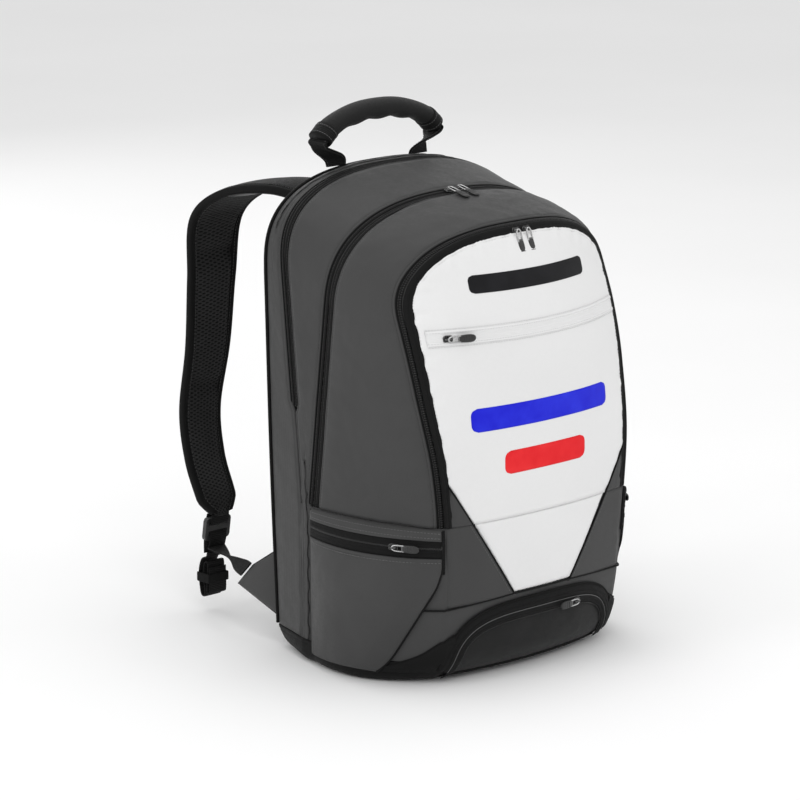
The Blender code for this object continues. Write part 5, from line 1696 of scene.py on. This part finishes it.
def build_slider(stem):
    """A die-cast slider with a bridge over its back, and the puller that hangs from it."""
    slider, puller = "zip_slider_" + stem, "zip_puller_" + stem
    centre, long, thin, half = axes_of(slider)
    if thin @ (axes_of(puller)[0] - centre) < 0:
        thin = -thin
    base = centre - thin * half[2]
    at = (base, long, np.cross(thin, long), thin)
    body = boxy("slider_body_" + stem, [oval(*loop) for loop in SLIDER_LOOPS], METAL, at)
    place(body, "slider_" + stem, "zip_metal", [slider])
    line = np.array([base + long * a + thin * b for a, b in smooth_line(SLIDER_BRIDGE, 5)])
    side, up = frames_along(line, thin)
    bridge = sweep("slider_bridge_" + stem, line, side, up, ring(0.0011, 0.0006, 12, flat=0.7), METAL)
    place(bridge, "slider_" + stem, "zip_metal")
    build_puller(stem, puller, base, thin)


def build_puller(stem, node, base, away):
    """A wire loop that ends in a moulded black tip with ridges."""
    body = "puller_" + stem
    centre, long, thin, half = axes_of(node)
    if long @ (centre - base) < 0:
        long = -long
    if thin @ away < 0:
        thin = -thin
    middle = np.cross(thin, long)
    near = centre - long * half[0]
    reach, wide = 2 * half[0], half[1]
    rods = [(a, -b) for a, b in WIRE_HALF] + [(0.0007, 0.0)] + list(reversed(WIRE_HALF))
    line = np.array([near + long * a + middle * b * wide for a, b in smooth_line(rods, 6)])
    side, up = frames_along(line, thin)
    place(sweep("puller_wire_" + stem, line, side, up, ring(0.00080, 0.00080, 10), BRIGHT), body, "zip_metal")
    loops = []
    for t, w, h in TIP_LOOPS:
        along, half_wide, half_high = t * reach / TIP_LENGTH, wide * w, TIP_HALF_HIGH * h
        loops.append([(along, half_wide * powered(c, 0.7), half_high * powered(s, 0.7)) for c, s in circle(20)])
    tip = boxy("puller_tip_" + stem, loops, PLASTIC, (near, long, middle, thin))
    place(tip, body, "zip_metal", [node])
    shares = np.linspace(-1, 1, 7)
    for k, t in enumerate((0.0175, 0.0205, 0.0235)):
        row = [near + long * t + middle * u * wide * 0.72 + thin * 0.00118 for u in shares]
        seam_cord(f"puller_grip_{k}_{stem}", row, body, PLASTIC, 0.00045, tuple(thin), "zip_metal")
    collar = [near + long * 0.0118 + middle * u * wide * 0.78 for u in shares]
    seam_cord("puller_bar_" + stem, collar, body, METAL, 0.00085, tuple(thin), "zip_metal")


# ---- floor, light and camera ----
def floor_material():
    n = Nodes("pale_floor", 0.85, specular=0.1)
    return n.finish(n.blend(n.ramp(n.noise(n.place(), 1.5), 0.3, 0.7), rgb(0.93), rgb(0.95)))


LIT_POINT = (0, 0, 0.28)  # every light faces it


def area_light(name, location, size, power):
    data = bpy.data.lights.new(name, "AREA")
    data.shape = "RECTANGLE"
    data.size, data.size_y = size
    data.energy = power
    lamp = bpy.data.objects.new(name, data)
    lamp.location = location
    lamp.rotation_euler = (Vector(LIT_POINT) - Vector(location)).to_track_quat("-Z", "Y").to_euler()
    bpy.context.scene.collection.objects.link(lamp)


CAMERA_AZIMUTH, CAMERA_ELEVATION, CAMERA_DISTANCE = math.radians(44), math.radians(12.8), 4.115
CAMERA_TARGET = Vector((-0.0655, 0, 0.269))
CAMERA_LENS, CAMERA_SENSOR = 180, 36
FLOOR_HALF, FLOOR_Z, WORLD_STRENGTH = 6, -0.0004, 0.78


def build_studio():
    """A pale floor, even white surroundings, five soft lights and the photograph's camera."""
    corners = [(x * FLOOR_HALF, y * FLOOR_HALF, 0) for x, y in ((-1, -1), (1, -1), (1, 1), (-1, 1))]
    floor = as_object("floor", mesh_of("floor", corners, [(0, 1, 2, 3)]), floor_material())
    floor.location = (0, 0, FLOOR_Z)
    world = bpy.data.worlds.new("studio")
    world.use_nodes = True
    background = world.node_tree.nodes["Background"]
    background.inputs["Color"].default_value = (1, 1, 1, 1)
    background.inputs["Strength"].default_value = WORLD_STRENGTH
    bpy.context.scene.world = world
    area_light("key", (-1.7, -2.4, 2.3), (1.8, 1.8), 20)
    area_light("front_fill", (1.8, -2.3, 1.2), (1.6, 2.0), 7)
    area_light("side_strip", (-2.8, 0.5, 1.1), (0.8, 2.4), 13)
    area_light("top", (0.1, 0.3, 2.7), (1.6, 1.6), 13)
    area_light("back_fill", (0.8, 2.8, 1.4), (2.0, 1.6), 10)
    level = math.cos(CAMERA_ELEVATION)
    aside, forward = math.sin(CAMERA_AZIMUTH) * level, math.cos(CAMERA_AZIMUTH) * level
    away = Vector((-aside, -forward, math.sin(CAMERA_ELEVATION)))
    data = bpy.data.cameras.new("camera")
    data.lens, data.sensor_width, data.clip_end = CAMERA_LENS, CAMERA_SENSOR, 50
    camera = bpy.data.objects.new("camera", data)
    camera.location = CAMERA_TARGET + away * CAMERA_DISTANCE
    camera.rotation_euler = (-away).to_track_quat("-Z", "Y").to_euler()
    bpy.context.scene.collection.objects.link(camera)
    bpy.context.scene.camera = camera
    bpy.context.scene.view_settings.view_transform = "Standard"


def build_everything():
    build_shell()
    build_lower_front()
    flap = build_flap()
    print_bar("print_bar_dark", flap, 0.4080, (0.164, 0.0180), INK_DARK)
    print_bar("print_bar_blue", flap, 0.2740, (0.196, 0.0240), INK_BLUE)
    print_bar("print_bar_red", flap, 0.2260, (0.116, 0.0240), INK_RED)
    build_flap_zip()
    build_shoe_door()
    build_shoe_sides()
    build_gussets()
    build_corner_seams()
    build_back_panel()
    build_pads()
    build_inside()
    build_handle()
    for name, sign in SIDES:
        build_pocket(name, sign)
        build_strap(name, sign)
        build_lock(name, sign)
        build_lower_webbing(name, sign)
        build_tail(name, sign)
        build_wing(name, sign)
    stems = [f"{zip_name}_{side}" for zip_name in ("main", "flap", "pocket") for side, _ in SIDES]
    for stem in stems + ["front", "shoe", "back"]:
        build_slider(stem)
    STITCHES.build("stitches")
    TEETH.build("zip_teeth")
    build_studio()


build_everything()
